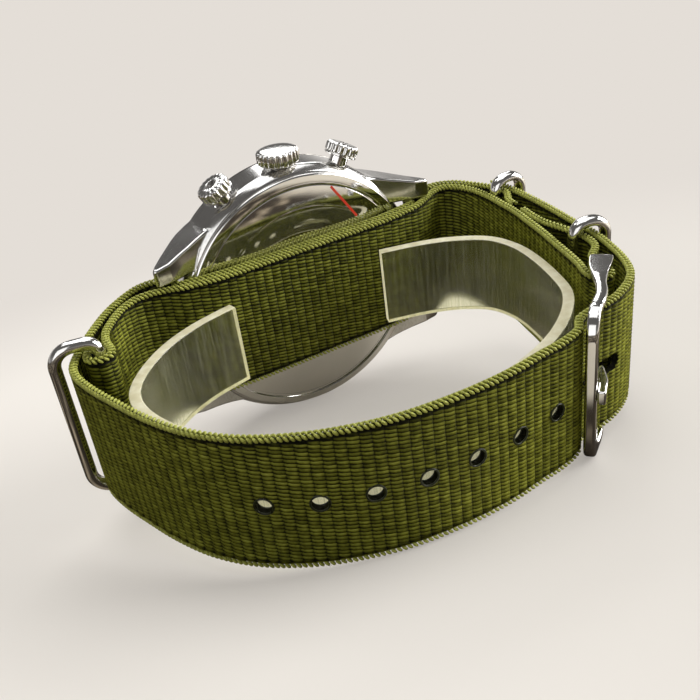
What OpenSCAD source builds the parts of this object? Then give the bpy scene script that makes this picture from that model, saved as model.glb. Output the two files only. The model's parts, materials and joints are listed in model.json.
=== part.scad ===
// Two-register pilot chronograph on a one-piece nylon strap, closed and lying on its side, crown up.
// The watch is drawn in its own axes and then set down on the ground by rest():
// x points to 12 o'clock, y from the wrist to the dial, z to the crown.
// The flat of the case back is y = 0 and the centre of the case is x = z = 0.

/* [Case] */
// Diameter of the middle case
case_d = 42.4; // [41.8:0.2:44]
// Height at which the flank of the case starts, above the flat of the back
flank_lo = 2.8; // [2.4:0.1:3.4]
// Height at which the flank ends and the bezel sits
flank_hi = 8.4; // [8.2:0.1:9.4]
// Length over the lug tips
lug_span = 48.6; // [48.2:0.2:52]
// Thickness of each lug
lug_w = 2.7; // [2.2:0.1:3.4]
// How much wider each lug is where it meets the case
lug_flare = 3; // [1:0.1:3.4]
// Outer diameter of the case back
back_d = 40; // [38:0.2:40.2]
// Outer diameter of the bezel at its foot
bezel_d = 41; // [38.4:0.2:41.6]
// Height of the bezel
bezel_h = 2.2; // [1.8:0.1:3]
// Diameter of the crystal
crystal_d = 33.2; // [32.8:0.1:33.6]
// Rise of the crystal's dome above its edge
crystal_dome = 1.2; // [0.8:0.1:1.8]

/* [Crown and pushers] */
// Diameter of the crown
crown_d = 6.6; // [5.6:0.1:7.2]
// Length of the crown
crown_h = 2.2; // [2:0.1:3]
// Number of flutes round the crown
crown_flutes = 22; // [14:2:30]
// Angle between the crown and each pusher
pusher_angle = 28; // [26:0.5:32]
// Diameter of a pusher cap
pusher_d = 5.2; // [4.4:0.1:5.8]
// Length of a pusher cap
pusher_h = 2.1; // [1.9:0.1:2.8]
// Travel of a pusher
pusher_travel = 1; // [0.6:0.1:1.1]
// Distance that the crown pulls out to set the hands
crown_travel = 1; // [0.6:0.1:1.4]

/* [Strap] */
// Width of the strap
strap_w = 20; // [19:0.5:21]
// Thickness of the strap
strap_t = 1.2; // [1:0.05:1.3]
// Diameter of a punched hole
hole_d = 2.2; // [1.6:0.1:2.6]
// Distance between two punched holes
hole_pitch = 6.5; // [5.5:0.25:7]
// Number of punched holes that lie free
hole_count = 7; // [4:1:8]
// Wire of the two keepers
keeper_wire = 1.8; // [1.4:0.1:1.9]
// Wire of the ring on the under strap
ring_wire = 2; // [1.6:0.1:2.1]

/* [Buckle] */
// Distance from the pin to the middle of the front bar
buckle_l = 14.4; // [14:0.1:15]
// Width of the front bar along the strap
bar_w = 2.8; // [2:0.1:3.2]
// Thickness of the front bar
bar_t = 1.6; // [1.2:0.1:1.8]
// Thickness of each side arm
arm_t = 1.2; // [1:0.1:1.8]
// Diameter of the buckle pin
pin_d = 1.5; // [1.2:0.1:1.6]
// Width of the tang
tang_w = 2; // [1.6:0.1:2.2]

/* [Display insert] */
// Height of the clear C-shaped insert
insert_h = 12.5; // [8:0.5:16]
// Wall of the insert
insert_t = 1.6; // [1.2:0.1:2.2]

/* [Dial] */
// Length of the minute hand
minute_l = 13.2; // [11:0.2:13.8]
// Length of the hour hand
hour_l = 9; // [7.6:0.2:10]
// Diameter of each small dial
subdial_d = 9; // [8:0.2:9.4]

/* [Movement] */
// Diameter of the movement
movement_d = 30.4; // [30:0.1:30.6]
// Diameter of the balance
balance_d = 8.6; // [7.6:0.1:8.7]
// Diameter of the mainspring barrel
barrel_d = 10.8; // [9.6:0.1:10.9]

/* [Hidden] */
$fn = 72;

// Clearances
run_fit = 0.04;        // between an arbor and its bore, on the radius
slide_fit = 0.05;      // between a stem and its tube, on the radius
lay_gap = 0.1;         // between two layers that lie on each other
hinge_gap = 0.1;       // between a pin and the strap round it

// Case, as radii and as heights above the back
case_r = case_d / 2;
back_r = back_d / 2;
bezel_r = bezel_d / 2;
crystal_r = crystal_d / 2;
dial_lip = 0.8;
back_flat_r = 11;
back_rim_in = back_r - 1.4;
back_rim_lo = 1;
back_rim_hi = 1.45;
back_wall = 1.2;
back_recess_r = 17;
back_thread_r = 18.2;
back_spigot_hi = 2.4;
ledge_h = 2.6;
case_bore_r = movement_d / 2 + 1.1;
seat_h = 6.9;
seat_r = crystal_r + dial_lip;
bezel_top = flank_hi + bezel_h;
crystal_lo = flank_hi + 1;
crystal_edge_hi = crystal_lo + 1.8;
gasket_t = 0.4;
bezel_bore_r = crystal_r + gasket_t;
bezel_wall = bezel_r - bezel_bore_r;
dial_ring_top = crystal_lo - 0.1;

// Lugs and spring bars
lug_in = strap_w / 2 + 0.15;
lug_out = lug_in + lug_w;
bay_x = back_r + 0.15;
bar_r = 0.9;
bar_pin_r = 0.45;
spring_bar_x = bay_x + strap_t + 2 * lay_gap + bar_r;
spring_bar_h = 2.2;
tip_x = lug_span / 2;

// Crown and pushers: heights along their own axes, from the centre of the case
control_h = 4.2;
tube_r = 1.5;
tube_bore_r = 0.75;
tube_start = case_bore_r + 0.5;
crown_r = crown_d / 2;
crown_start = case_r + 0.5;
crown_end = crown_start + crown_h;
crown_tube_end = crown_start + 0.9;
stem_r = tube_bore_r - slide_fit;
pusher_tube_r = 1.45;
pusher_bore_r = 0.95;
pusher_stem_r = pusher_bore_r - slide_fit;
pusher_start_r = case_r + pusher_travel + 0.2;
pusher_end_r = pusher_start_r + pusher_h;
pusher_tube_end = pusher_start_r + 0.2;
pusher_skirt = pusher_travel + 0.35;
lever_face_r = 14.9;

// Movement, as heights above the back
plate_lo = 5.4;
plate_hi = 6.8;
bridge_lo = 2.4;
bridge_hi = 3.2;
chrono_lo = 1.8;
chrono_t = 0.2;
lever_lo = 1.7;
lever_t = 0.5;
movement_r = movement_d / 2;
dial_lo = seat_h;
dial_t = 0.4;
dial_hi = dial_lo + dial_t;
small_hand_h = dial_hi + 0.15;
hour_hand_h = dial_hi + 0.5;
minute_hand_h = hour_hand_h + 0.4;
chrono_hand_h = minute_hand_h + 0.4;
hand_t = 0.16;

// Movement, in plan: the first number is towards 12 o'clock, the second towards 9 o'clock
subdial_at = 8.2;
fourth_at = [0, subdial_at];
counter_at = [0, -subdial_at];
barrel_at = [-8.2, -1.5];
third_at = [-4.6, 4.9];
escape_at = [5, 10.6];
pallet_at = [7.9, 9.8];
balance_at = [8.6, 5];
crown_wheel_at = [-3, -11.6];
column_at = [6.2, -7.4];
lever_pivot = [11, -8.6];
hammer_pivot = [-11, -8.6];
train_pillars = [[-10.8, 8.6], [-2, 13.3], [3, 12.9]];
barrel_pillars = [[-12.5, -6.5], [2.4, -9.2]];
cock_pillar = [12.2, -2.6];
arbor_r = 0.3;
barrel_arbor_r = 0.6;
pillar_r = 1;
screw_r = 0.35;
centre_pipe_r = 0.55;
chrono_arbor_r = 0.25;

// Strap: places in the plan of the loop, the first number along x, the second along y
half_t = strap_t / 2;
layer = strap_t + lay_gap;
half_w = strap_w / 2;
ring_r = ring_wire / 2;
keeper_r = keeper_wire / 2;
drawn_bar_x = 22.45;
ring_in = placed([-36.3, -11]);
ring_out = placed([-42, -9.8]);
buckle_at = placed([26.2, -37.7]);
buckle_turn = 221.8;
pin_r = pin_d / 2;
pin_loop_r = pin_r + hinge_gap + half_t;
ring_loop_r = ring_r + hinge_gap + half_t;
wire_room = 0.05;
upper_under = placed([31.4, -6]);
lower_under = placed([27.9, -26.5]);
lower_turn = -14.5;
keeper_span = 5;
keeper_bend = keeper_r + 0.9;
keeper_half = half_w + 0.65 + keeper_r;
upper_keeper_at = upper_under + [half_t + wire_room + keeper_r, 0];
lower_out = half_t + wire_room + keeper_r + 1.4;
lower_keeper_at = lower_under + polar(lower_out, lower_turn);
frame_half = half_w + 0.3;
tang_slot = 7.4;
first_hole = 11.6;
tang_t = 1.1;
bar_out = 0.5;
arm_end = 1.7;
corner_r = 4.2;
inner_corner_r = 2;
band_under_bar = bar_out - bar_t / 2 - lay_gap - half_t;

function polar(r, a) = [r * cos(a), r * sin(a)];
function unit(v) = v / norm(v);
function turned(v, a) = [v.x * cos(a) - v.y * sin(a), v.x * sin(a) + v.y * cos(a)];
// The loop is drawn for spring bars at drawn_bar_x, and its two sides keep their distance from the bars
function placed(p) = p + [(spring_bar_x - drawn_bar_x) * max(-1, min(1, p.x / bay_x)), 0];
function all_placed(list) = [for (p = list) placed(p)];
// Place in the plan of the loop of a point given along the buckle (u) and out of it (v)
function on_buckle(u, v) = buckle_at + turned([u, v], buckle_turn);
// Smooth curve through control points, with n steps from each point to the next
function curve_point(a, b, c, d, t) =
    0.5 * (2 * b + (c - a) * t + (2 * a - 5 * b + 4 * c - d) * t * t + (3 * b - a - 3 * c + d) * t * t * t);
function curve(p, n = 4) = [
    for (i = [0 : len(p) - 2], k = [0 : n - 1])
        curve_point(p[max(i - 1, 0)], p[i], p[i + 1], p[min(i + 2, len(p) - 1)], k / n),
    p[len(p) - 1]];
function heading(p, i) = unit(p[min(i + 1, len(p) - 1)] - p[max(i - 1, 0)]);
function side(p, d) = [for (i = [0 : len(p) - 1]) p[i] + d * [-heading(p, i).y, heading(p, i).x]];
function reversed(p) = [for (i = [len(p) - 1 : -1 : 0]) p[i]];
function mirrored(p) = [for (q = p) [-q.x, q.y]];
// Place on a path, and its heading there, a length s back from step i
function back_along(p, i, s) = let (way = p[i] - p[i - 1], l = norm(way))
    s <= l ? [p[i] - way * s / l, way / l] : back_along(p, i - 1, s - l);

// The under strap: round the ring, behind the case, round the buckle pin and back past the lower keeper
under_mid = -half_t - layer - lay_gap;
under_half = all_placed([[3, under_mid], [8, under_mid], [13, under_mid + 0.04], [16, under_mid + 0.28],
    [18.2, under_mid + 0.68], [19.8, under_mid + 0.94], [21, under_mid + 1.3], [22.2, under_mid + 1.9]]);
under_points = concat(
    all_placed([[-36, -7.8], [-37.15, -9.2]]),
    [for (a = [180 : 45 : 360]) ring_in + polar(ring_loop_r, a)],
    all_placed([[-34.6, -9.6], [-34.5, -8], [-33.7, -5.6], [-31.6, -2.6], [-29.6, -0.6], [-27.2, 0.6],
     [-24.6, 0.6]]),
    reversed(mirrored(under_half)), under_half,
    all_placed([[23.6, 0.7], [25.2, 1.7], [27, 2.4], [28.8, 1.9], [30.3, 0.2]]),
    [upper_under + [-0.15, 3.2], upper_under, upper_under + [-0.3, -4], placed([30.7, -14]), placed([29.9, -18]),
     lower_under + polar(4.4, 90 + lower_turn), lower_under, lower_under - polar(4.4, 90 + lower_turn),
     buckle_at + [-0.2, 4.1], buckle_at + [-0.95, 2.3], buckle_at + [-1.36, 1.1]],
    [for (a = [180 : 45 : 360]) buckle_at + polar(pin_loop_r, a)],
    [buckle_at + [1.5, 1.1], buckle_at + [1.8, 2.4], buckle_at + [2.4, 4.2],
     lower_keeper_at + polar(half_t + wire_room + keeper_r, lower_turn) + polar(3.6, lower_turn - 90),
     lower_keeper_at + polar(half_t + wire_room + keeper_r, lower_turn),
     placed([31.8, -23.4]), placed([31.35, -20.6]), placed([31.5, -17.6]), placed([31.97, -14.8])]);

// The long strap: from the upper keeper over one spring bar, behind the case, over the other, through
// the ring, round the wrist, under the front bar and back through both keepers
over_bar = bar_r + lay_gap + half_t;
long_mid = -half_t - lay_gap;
tail_room = keeper_span - keeper_r - wire_room - half_t;
long_half = concat(
    all_placed([[3, long_mid], [8, long_mid], [13, long_mid + 0.05], [16, long_mid + 0.35],
     [18.2, long_mid + 0.75], [19.6, long_mid + 0.95], [20.6, long_mid + 1.3], [20.93, long_mid + 2.05]]),
    [for (a = [180 : -30 : 90]) [spring_bar_x, spring_bar_h] + polar(over_bar, a)]);
long_start = concat(
    [upper_under + [layer - 0.3, -5.6], upper_under + [layer + 0.15, -3.6],
     upper_keeper_at + [half_t + wire_room + keeper_r, -0.9],
     upper_keeper_at + [half_t + wire_room + keeper_r - 0.35, 2.2],
     placed([32.8, -0.7]), placed([31, 2.3]), placed([28.5, 4]), placed([26, 4.3]),
     placed([24, spring_bar_h + over_bar + 0.25])],
    reversed(long_half), mirrored(long_half),
    all_placed([[-24.4, 4.1], [-26.6, 3.6], [-29.6, 1.7], [-32.8, -1.2], [-36.8, -6.3], [-39.7, -11], [-40.4, -14.2],
     [-39.7, -18.5], [-38.2, -23.4], [-36.1, -29.3], [-33.4, -34.7], [-29.6, -39.4], [-24.6, -43.2],
     [-19, -46], [-12.5, -48], [-5, -48.9], [1.6, -48.9], [7.2, -48.2], [10.8, -47.8]]),
    [for (u = [0.9, -0.5, -2]) on_buckle(buckle_l + u, band_under_bar - 0.3)],
    [on_buckle(buckle_l - 3.8, -0.4)]);
long_points = concat(long_start,
    [on_buckle(buckle_l - 6, 1.3), on_buckle(buckle_l - 9, 2.9), on_buckle(1.4, 3.9), placed([30.1, -39]),
     placed([32.2, -34.6]),
     lower_keeper_at + polar(tail_room - 0.1, lower_turn),
     placed([34.6, -22.5]), placed([35.3, -17]), placed([35.75, -11.5]),
     upper_keeper_at + [tail_room - 0.5, 0], upper_keeper_at + [tail_room - 0.7, 3.7]]);
strap_steps = 4;
long_path = curve(long_points, strap_steps);
tang_step = len(long_start) * strap_steps - 1;

// The insert's outer face, open behind the case back
insert_points = all_placed([[-15.9, -6.35], [-22.2, -7.9], [-27.8, -10.6], [-32.6, -14.8], [-35.6, -19.6], [-35.8, -25.4],
    [-33.2, -32.3], [-28.2, -38.4], [-21, -43.4], [-12, -46.7], [-4, -47.6], [4, -47], [12, -44.6],
    [18.2, -41], [22.6, -36.6], [24.7, -31.8], [26.4, -25], [26.8, -19.6], [25.4, -14.6], [21.4, -10.8],
    [16.5, -8.3], [9.9, -6.3]]);
insert_z = 1;

// Setting down: the watch rests on the flank of the case, a corner of the buckle and the strap's lower edge
buckle_edge = [for (a = [0 : 6 : 90])
    let (u = buckle_l + bar_w / 2 - corner_r * (1 - sin(a)), v = max(bar_out + bar_t / 2, 1.7 - (u - 10) * 0.14))
        concat(on_buckle(u, v), [-frame_half - arm_t + corner_r * (1 - cos(a))])];
front_edge = [for (p = side(long_path, -half_t)) if (p.x < 0 && p.y < -30) concat(p, [-half_w])];
function foot_case(up) = let (d = unit([up.x, up.z])) [-case_r * d.x, flank_lo, -case_r * d.y];
function lowest(list, up) = let (heights = [for (p = list) p * up])
    [for (i = [0 : len(list) - 1]) if (heights[i] == min(heights)) list[i]][0];
function ground_by(a, b, c) = let (n = unit(cross(b - a, c - a))) n.z < 0 ? -n : n;
function first_touch(foot_a, foot_b) = let (ups = [for (p = front_edge) ground_by(foot_a, foot_b, p)],
    rolls = [for (n = ups) n.x]) [for (n = ups) if (n.x == min(rolls)) n][0];
function settled(up, rounds) = rounds == 0 ? up :
    settled(first_touch(foot_case(up), lowest(buckle_edge, up)), rounds - 1);
ground = settled([0, 0, 1], 6);
rest_pitch = atan2(ground.y, ground.z);
rest_roll = -asin(ground.x);
function rested(p) = let (
    y = p.y * cos(rest_pitch) - p.z * sin(rest_pitch), z = p.y * sin(rest_pitch) + p.z * cos(rest_pitch))
    [p.x * cos(rest_roll) + z * sin(rest_roll), y, z * cos(rest_roll) - p.x * sin(rest_roll)];
// Outermost places of the watch, for centring it over the origin
outermost = concat(
    [for (a = [0 : 5 : 355]) [case_r * cos(a), flank_lo, case_r * sin(a)]],
    [for (a = [0 : 5 : 355]) [bezel_r * cos(a), flank_hi + bezel_h / 2, bezel_r * sin(a)]],
    [for (a = [0 : 5 : 355]) [crystal_r * cos(a), crystal_edge_hi, crystal_r * sin(a)]],
    [for (p = side(long_path, -half_t), s = [-1, 1]) [p.x, p.y, s * half_w]],
    [for (s = [-1, 1]) [ring_out.x - ring_r, ring_out.y, s * half_w]],
    [for (s = [-1, 1]) [upper_keeper_at.x + keeper_span + keeper_r, upper_keeper_at.y, s * half_w]],
    [foot_case(ground)], buckle_edge);
rested_x = [for (p = outermost) rested(p).x];
rested_y = [for (p = outermost) rested(p).y];
rested_z = [for (p = outermost) rested(p).z];

module rest() {
    translate([-(min(rested_x) + max(rested_x)) / 2, -(min(rested_y) + max(rested_y)) / 2, -min(rested_z)])
        rotate([rest_pitch, rest_roll, 0])
            children();
}

// Round pieces of the case are turned about its own axis: z is the height above the back,
// x points to 12 o'clock and y to 9 o'clock
module on_back() {
    rest() rotate([-90, 0, 0]) children();
}

// A tube or bar that lies along the axis of the crown or of a pusher
module at_control(angle) {
    translate([0, 0, control_h]) rotate([0, 0, angle - 90]) rotate([0, 90, 0]) children();
}

module ring(r_out, r_in, lo, hi) {
    translate([0, 0, lo]) difference() {
        cylinder(r = r_out, h = hi - lo);
        translate([0, 0, -1]) cylinder(r = r_in, h = hi - lo + 2);
    }
}

module disc(r, lo, hi) {
    translate([0, 0, lo]) cylinder(r = r, h = hi - lo);
}

// Round piece along an axis, hollow if r_in is above zero
module rod(r_out, r_in, from, to) {
    translate([0, 0, from]) difference() {
        cylinder(r = r_out, h = to - from);
        if (r_in > 0) translate([0, 0, -1]) cylinder(r = r_in, h = to - from + 2);
    }
}

module fluted(r, lo, hi, count, depth) {
    difference() {
        rotate_extrude() polygon([[0, lo], [r - 0.25, lo], [r, lo + 0.3], [r, hi - 0.35], [r - 0.4, hi], [0, hi]]);
        for (i = [0 : count - 1])
            rotate([0, 0, i * 360 / count]) translate([r + depth, 0, lo - 1]) cylinder(r = 2 * depth, h = hi - lo + 2);
    }
}

// Middle case with its four lugs
lug_tip_h = 0;
lug_profile = [[13, flank_hi - 0.1], [15.6, flank_hi - 0.2], [17.6, flank_hi - 1], [19.6, flank_hi - 2.6],
    [21.6, 3.9], [tip_x - 1.1, 2], [tip_x - 0.2, lug_tip_h + 0.5], [tip_x - 0.6, lug_tip_h],
    [21.4, lug_tip_h + 0.1], [19, 1], [16, 1.9], [13, 2.4]];

// Seen from above, the outer side of each lug spreads towards the case by a share of lug_flare
lug_plan = concat([[12, lug_in], [tip_x, lug_in]],
    [for (p = [[tip_x, 0], [tip_x - 1.1, 0.07], [21.6, 0.16], [19.6, 0.34], [17.6, 0.52], [15.6, 0.74], [12, 1.1]])
        [p.x, lug_out + lug_flare * p.y]]);

module lug(along, across) {
    mirror([along, 0, 0]) mirror([0, across, 0]) intersection() {
        translate([0, 20, 0]) rotate([90, 0, 0]) linear_extrude(20) polygon(lug_profile);
        translate([0, 0, -1]) linear_extrude(12) polygon(lug_plan);
    }
}

module mid_case() {
    color("silver") on_back() difference() {
        union() {
            rotate_extrude() polygon([[0, back_rim_hi], [back_r + 0.1, back_rim_hi], [case_r, flank_lo],
                [case_r, flank_hi - 0.3], [case_r - 0.3, flank_hi], [0, flank_hi]]);
            for (along = [0, 1], across = [0, 1]) lug(along, across);
        }
        disc(case_bore_r, -1, flank_hi + 1);
        disc(back_thread_r + slide_fit, -1, ledge_h);
        disc(seat_r + slide_fit, seat_h, flank_hi + 1);
        disc(back_r + slide_fit, -1, back_rim_hi);
        for (s = [-1, 1]) {
            translate([s * (bay_x + 5), 0, 4]) cube([10, 2 * lug_in, 12], center = true);
            translate([s * spring_bar_x, 0, spring_bar_h]) rotate([90, 0, 0])
                cylinder(r = bar_pin_r + run_fit, h = 2 * (lug_in + 1.2), center = true);
        }
        at_control(0) rod(tube_r, 0, case_bore_r - 2, case_r + 2);
        for (s = [-1, 1]) at_control(s * pusher_angle) rod(pusher_tube_r, 0, case_bore_r - 2, case_r + 2);
    }
}

module bezel() {
    color("lightgray") on_back() rotate_extrude() polygon([[bezel_bore_r, flank_hi], [bezel_r - 0.2, flank_hi],
        [bezel_r, flank_hi + 0.3], [bezel_r - 0.5, flank_hi + 0.9], [bezel_r - 0.69 * bezel_wall, bezel_top - 0.2],
        [bezel_r - 0.8 * bezel_wall, bezel_top], [bezel_bore_r + 0.2, bezel_top], [bezel_bore_r, bezel_top - 0.2]]);
}

module crystal() {
    dome = [for (i = [0 : 8]) let (r = (crystal_r - 0.5) * i / 8)
        [r, crystal_edge_hi + crystal_dome * (1 - pow(i / 8, 2))]];
    color("azure", 0.5) on_back() rotate_extrude() polygon(concat(
        [[0, crystal_lo + 0.8], [crystal_r - 2.4, crystal_lo + 0.6], [crystal_r - 1.6, crystal_lo],
         [crystal_r, crystal_lo], [crystal_r, crystal_edge_hi - 0.3]], reversed(dome)));
}

module crystal_gasket() {
    color("whitesmoke") on_back() ring(bezel_bore_r, crystal_r, crystal_lo, bezel_top - 0.3);
}

module dial_ring() {
    color("black") on_back() rotate_extrude() polygon([[crystal_r - 1.4, dial_hi], [seat_r, dial_hi],
        [seat_r, flank_hi - 0.1], [crystal_r + 0.3, flank_hi - 0.1], [crystal_r + 0.3, dial_ring_top],
        [crystal_r - 0.3, dial_ring_top]]);
}

module case_back() {
    dome = [for (i = [0 : 6]) let (r = back_flat_r + (back_rim_in - back_flat_r) * i / 6)
        [r, back_rim_lo * pow(i / 6, 1.6)]];
    color("gainsboro") on_back() rotate_extrude() polygon(concat([[0, 0]], dome,
        [[back_r - 0.15, back_rim_lo], [back_r, back_rim_lo + 0.15], [back_r, back_rim_hi],
         [back_thread_r, back_rim_hi], [back_thread_r, back_spigot_hi], [back_recess_r, back_spigot_hi],
         [back_recess_r, back_wall], [0, back_wall]]));
}

module back_gasket() {
    color("dimgray") on_back() ring(back_thread_r, back_recess_r + 0.2, back_spigot_hi, ledge_h);
}

module crown_tube() {
    color("silver") on_back() at_control(0) rod(tube_r, tube_bore_r, tube_start, crown_tube_end);
}

module pusher_tubes() {
    color("silver") on_back() for (s = [-1, 1])
        at_control(s * pusher_angle) rod(pusher_tube_r, pusher_bore_r, tube_start, pusher_tube_end);
}

module movement_ring() {
    color("gray") on_back() difference() {
        ring(case_bore_r - run_fit, movement_r + run_fit, ledge_h, seat_h - lay_gap);
        at_control(0) rod(tube_bore_r + 0.2, 0, 0, case_r);
        for (s = [-1, 1]) at_control(s * pusher_angle) rod(pusher_bore_r + 0.2, 0, 0, case_r);
    }
}

// Three plates that hold the movement ring against the ledge of the case
module ring_clamps() {
    color("goldenrod") on_back() for (a = [30, 150, 210])
        rotate([0, 0, a]) translate([movement_r + 0.1, -1.5, ledge_h - 0.2])
            cube([back_recess_r - 0.2 - movement_r - 0.1, 3, 0.2]);
}

module spring_bars() {
    color("silver") on_back() for (s = [-1, 1])
        translate([s * spring_bar_x, 0, spring_bar_h]) rotate([90, 0, 0]) {
            cylinder(r = bar_r, h = 2 * lug_in - 0.4, center = true);
            cylinder(r = bar_pin_r, h = 2 * (lug_in + 1), center = true);
        }
}

// Dial and hands
module dial() {
    color("black") on_back() difference() {
        disc(seat_r, dial_lo, dial_hi);
        disc(1, 0, 20);
        for (p = [fourth_at, counter_at]) translate([p.x, p.y, 0]) {
            disc(0.5, 0, 20);
            ring(subdial_d / 2 - 0.3, 1, dial_hi - 0.12, dial_hi + 1);
        }
    }
}

module hour_markers() {
    marker_r = crystal_r - 2.4;
    color("ivory") on_back() for (i = [0 : 11]) rotate([0, 0, -30 * i])
        if (i == 0)
            translate([marker_r - 0.6, 0, dial_hi]) rotate([0, 0, 180]) linear_extrude(0.1)
                polygon([[-1, -1.1], [1.2, 0], [-1, 1.1]]);
        else if (i % 3 != 0)
            translate([marker_r, 0, dial_hi + 0.05]) cube([1.6, 0.5, 0.1], center = true);
}

module subdial_rims() {
    color("silver") on_back() for (p = [fourth_at, counter_at])
        translate([p.x, p.y, 0]) ring(subdial_d / 2, subdial_d / 2 - 0.3, dial_hi, dial_hi + 0.1);
}

// Hand pointing along x: its eye, its blade and the pipe under it
module hand(l, w, tail_l, h, pipe_r, pipe_in, pipe_lo) {
    difference() {
        union() {
            disc(max(0.7, pipe_r + 0.3), h, h + hand_t);
            translate([0, 0, h]) linear_extrude(hand_t)
                polygon([[-tail_l, -w / 3], [0, -w / 2], [l * 0.6, -w / 2], [l, -0.08], [l, 0.08],
                    [l * 0.6, w / 2], [0, w / 2], [-tail_l, w / 3]]);
            disc(pipe_r, pipe_lo, h);
        }
        if (pipe_in > 0) disc(pipe_in, pipe_lo - 1, h + 2);
    }
}

module hour_hand() {
    color("ivory") on_back() rotate([0, 0, 55])
        hand(hour_l, 1.5, 0.9, hour_hand_h, 0.9, centre_pipe_r + run_fit, plate_hi + 0.02);
}

module minute_hand() {
    color("ivory") on_back() rotate([0, 0, -60]) difference() {
        hand(minute_l, 1.1, 0.9, minute_hand_h, centre_pipe_r, 0, plate_hi - 0.6);
        disc(chrono_arbor_r + run_fit, 0, 20);
    }
}

module chrono_hand() {
    color("firebrick") on_back() hand(minute_l + 0.8, 0.3, 3.6, chrono_hand_h, chrono_arbor_r, 0, chrono_hand_h - 0.1);
}

module small_hand(at, turn) {
    translate([at.x, at.y, 0]) rotate([0, 0, turn])
        hand(subdial_d / 2 - 0.9, 0.3, 0.9, small_hand_h, arbor_r, 0, plate_hi);
}

module small_seconds_hand() {
    color("ivory") on_back() small_hand(fourth_at, 0);
}

module minute_counter_hand() {
    color("ivory") on_back() small_hand(counter_at, 0);
}

// Movement
module bores(places, r) {
    for (p = places) translate([p.x, p.y, 0]) disc(r, 0, 20);
}

module mainplate() {
    color("gold") on_back() difference() {
        union() {
            disc(movement_r, plate_lo, plate_hi);
            for (p = [column_at, lever_pivot, hammer_pivot])
                translate([p.x, p.y, 0]) disc(0.5, lever_lo + lever_t + 0.3, plate_lo);
            for (p = [column_at, lever_pivot, hammer_pivot])
                translate([p.x, p.y, 0]) disc(0.3, lever_lo, plate_lo);
        }
        bores([[0, 0]], centre_pipe_r + run_fit);
        bores([fourth_at, counter_at, third_at, escape_at, pallet_at, balance_at], arbor_r + run_fit);
        bores(concat(train_pillars, barrel_pillars, [cock_pillar]), screw_r + run_fit);
    }
}

module bridge(outline, pillars, holes) {
    difference() {
        union() {
            intersection() {
                disc(movement_r - 0.4, bridge_lo, bridge_hi);
                translate([0, 0, bridge_lo]) linear_extrude(bridge_hi - bridge_lo) polygon(outline);
            }
            for (p = pillars) translate([p.x, p.y, 0]) disc(pillar_r, bridge_hi, plate_lo);
        }
        bores(pillars, screw_r + run_fit);
        bores(holes, arbor_r + run_fit);
    }
}

module train_bridge() {
    color("silver") on_back() bridge(
        [[-16, 3], [3.6, 3], [3.6, 9.7], [6.6, 9.7], [6.6, 16], [-16, 16]],
        train_pillars, [fourth_at, third_at, escape_at]);
}

module barrel_bridge() {
    color("silver") on_back() difference() {
        bridge([[-16, 2.7], [3.6, 2.7], [3.6, -10.2], [-16, -10.2]], barrel_pillars, [counter_at]);
        bores([[0, 0]], centre_pipe_r + run_fit);
        bores([barrel_at], barrel_arbor_r + run_fit);
        translate([hammer_pivot.x, hammer_pivot.y, 0]) disc(0.9, 0, plate_lo);
    }
}

module balance_cock() {
    color("silver") on_back() bridge(
        [[10.6, -4.4], [14, -1.6], [11.4, 4.4], [9.6, 6.6], [7.2, 6], [7.4, 3.9], [9.6, 0]],
        [cock_pillar], [balance_at]);
}

module bridge_screws() {
    color("steelblue") on_back() for (p = concat(train_pillars, barrel_pillars, [cock_pillar]))
        translate([p.x, p.y, 0]) {
            disc(0.75, bridge_lo - 0.3, bridge_lo);
            disc(screw_r, bridge_lo, plate_hi - 0.4);
        }
}

// Wheel with its rim, five arms and arbor
module wheel(r, lo, t, arbor_lo, arbor_hi, arbor = arbor_r) {
    hub = max(0.7, arbor + 0.25);
    ring(r, r - 0.55, lo, lo + t);
    disc(hub, lo, lo + t);
    for (i = [0 : 4]) rotate([0, 0, 72 * i]) translate([hub - 0.15, -0.2, lo]) cube([r - hub - 0.15, 0.4, t]);
    disc(arbor, arbor_lo, arbor_hi);
}

module barrel() {
    r = barrel_d / 2;
    color("goldenrod") on_back() translate([barrel_at.x, barrel_at.y, 0]) difference() {
        union() {
            disc(r, 3.4, 3.6);
            ring(r, r - 0.4, 3.4, 4.4);
            ring(r, 0.9, 4.2, 4.4);
        }
        disc(barrel_arbor_r + run_fit, 0, 20);
    }
}

module mainspring() {
    turns = 5;
    steps = 24;
    start_r = 1.1;
    pitch = (barrel_d / 2 - 0.7 - start_r) / turns;
    spiral = [for (i = [0 : turns * steps]) polar(start_r + pitch * i / steps, i * 360 / steps)];
    color("steelblue") on_back() translate([barrel_at.x, barrel_at.y, 3.65])
        linear_extrude(0.5) polygon(concat(side(spiral, 0.08), reversed(side(spiral, -0.08))));
}

module ratchet_wheel() {
    color("silver") on_back() translate([barrel_at.x, barrel_at.y, 0]) difference() {
        union() {
            disc(3.3, lever_lo, lever_lo + lever_t);
            disc(barrel_arbor_r, lever_lo, plate_lo - 0.1);
        }
        for (i = [0 : 29]) rotate([0, 0, 12 * i]) translate([3.35, 0, lever_lo - 1]) cylinder(r = 0.18, h = 2);
    }
}

module crown_wheel() {
    color("silver") on_back() translate([crown_wheel_at.x, crown_wheel_at.y, 0]) {
        disc(1.75, 3.4, 3.9);
        disc(0.5, 3.4, plate_lo - 0.02);
    }
}

module centre_wheel() {
    color("goldenrod") on_back() difference() {
        wheel(4.1, 4.65, 0.2, bridge_lo + 0.1, plate_hi - 0.62, centre_pipe_r);
        disc(chrono_arbor_r + run_fit, 0, 20);
    }
}

module third_wheel() {
    color("goldenrod") on_back() translate([third_at.x, third_at.y, 0])
        wheel(3.2, 4.98, 0.18, bridge_lo + 0.2, plate_hi - 0.2);
}

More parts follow.
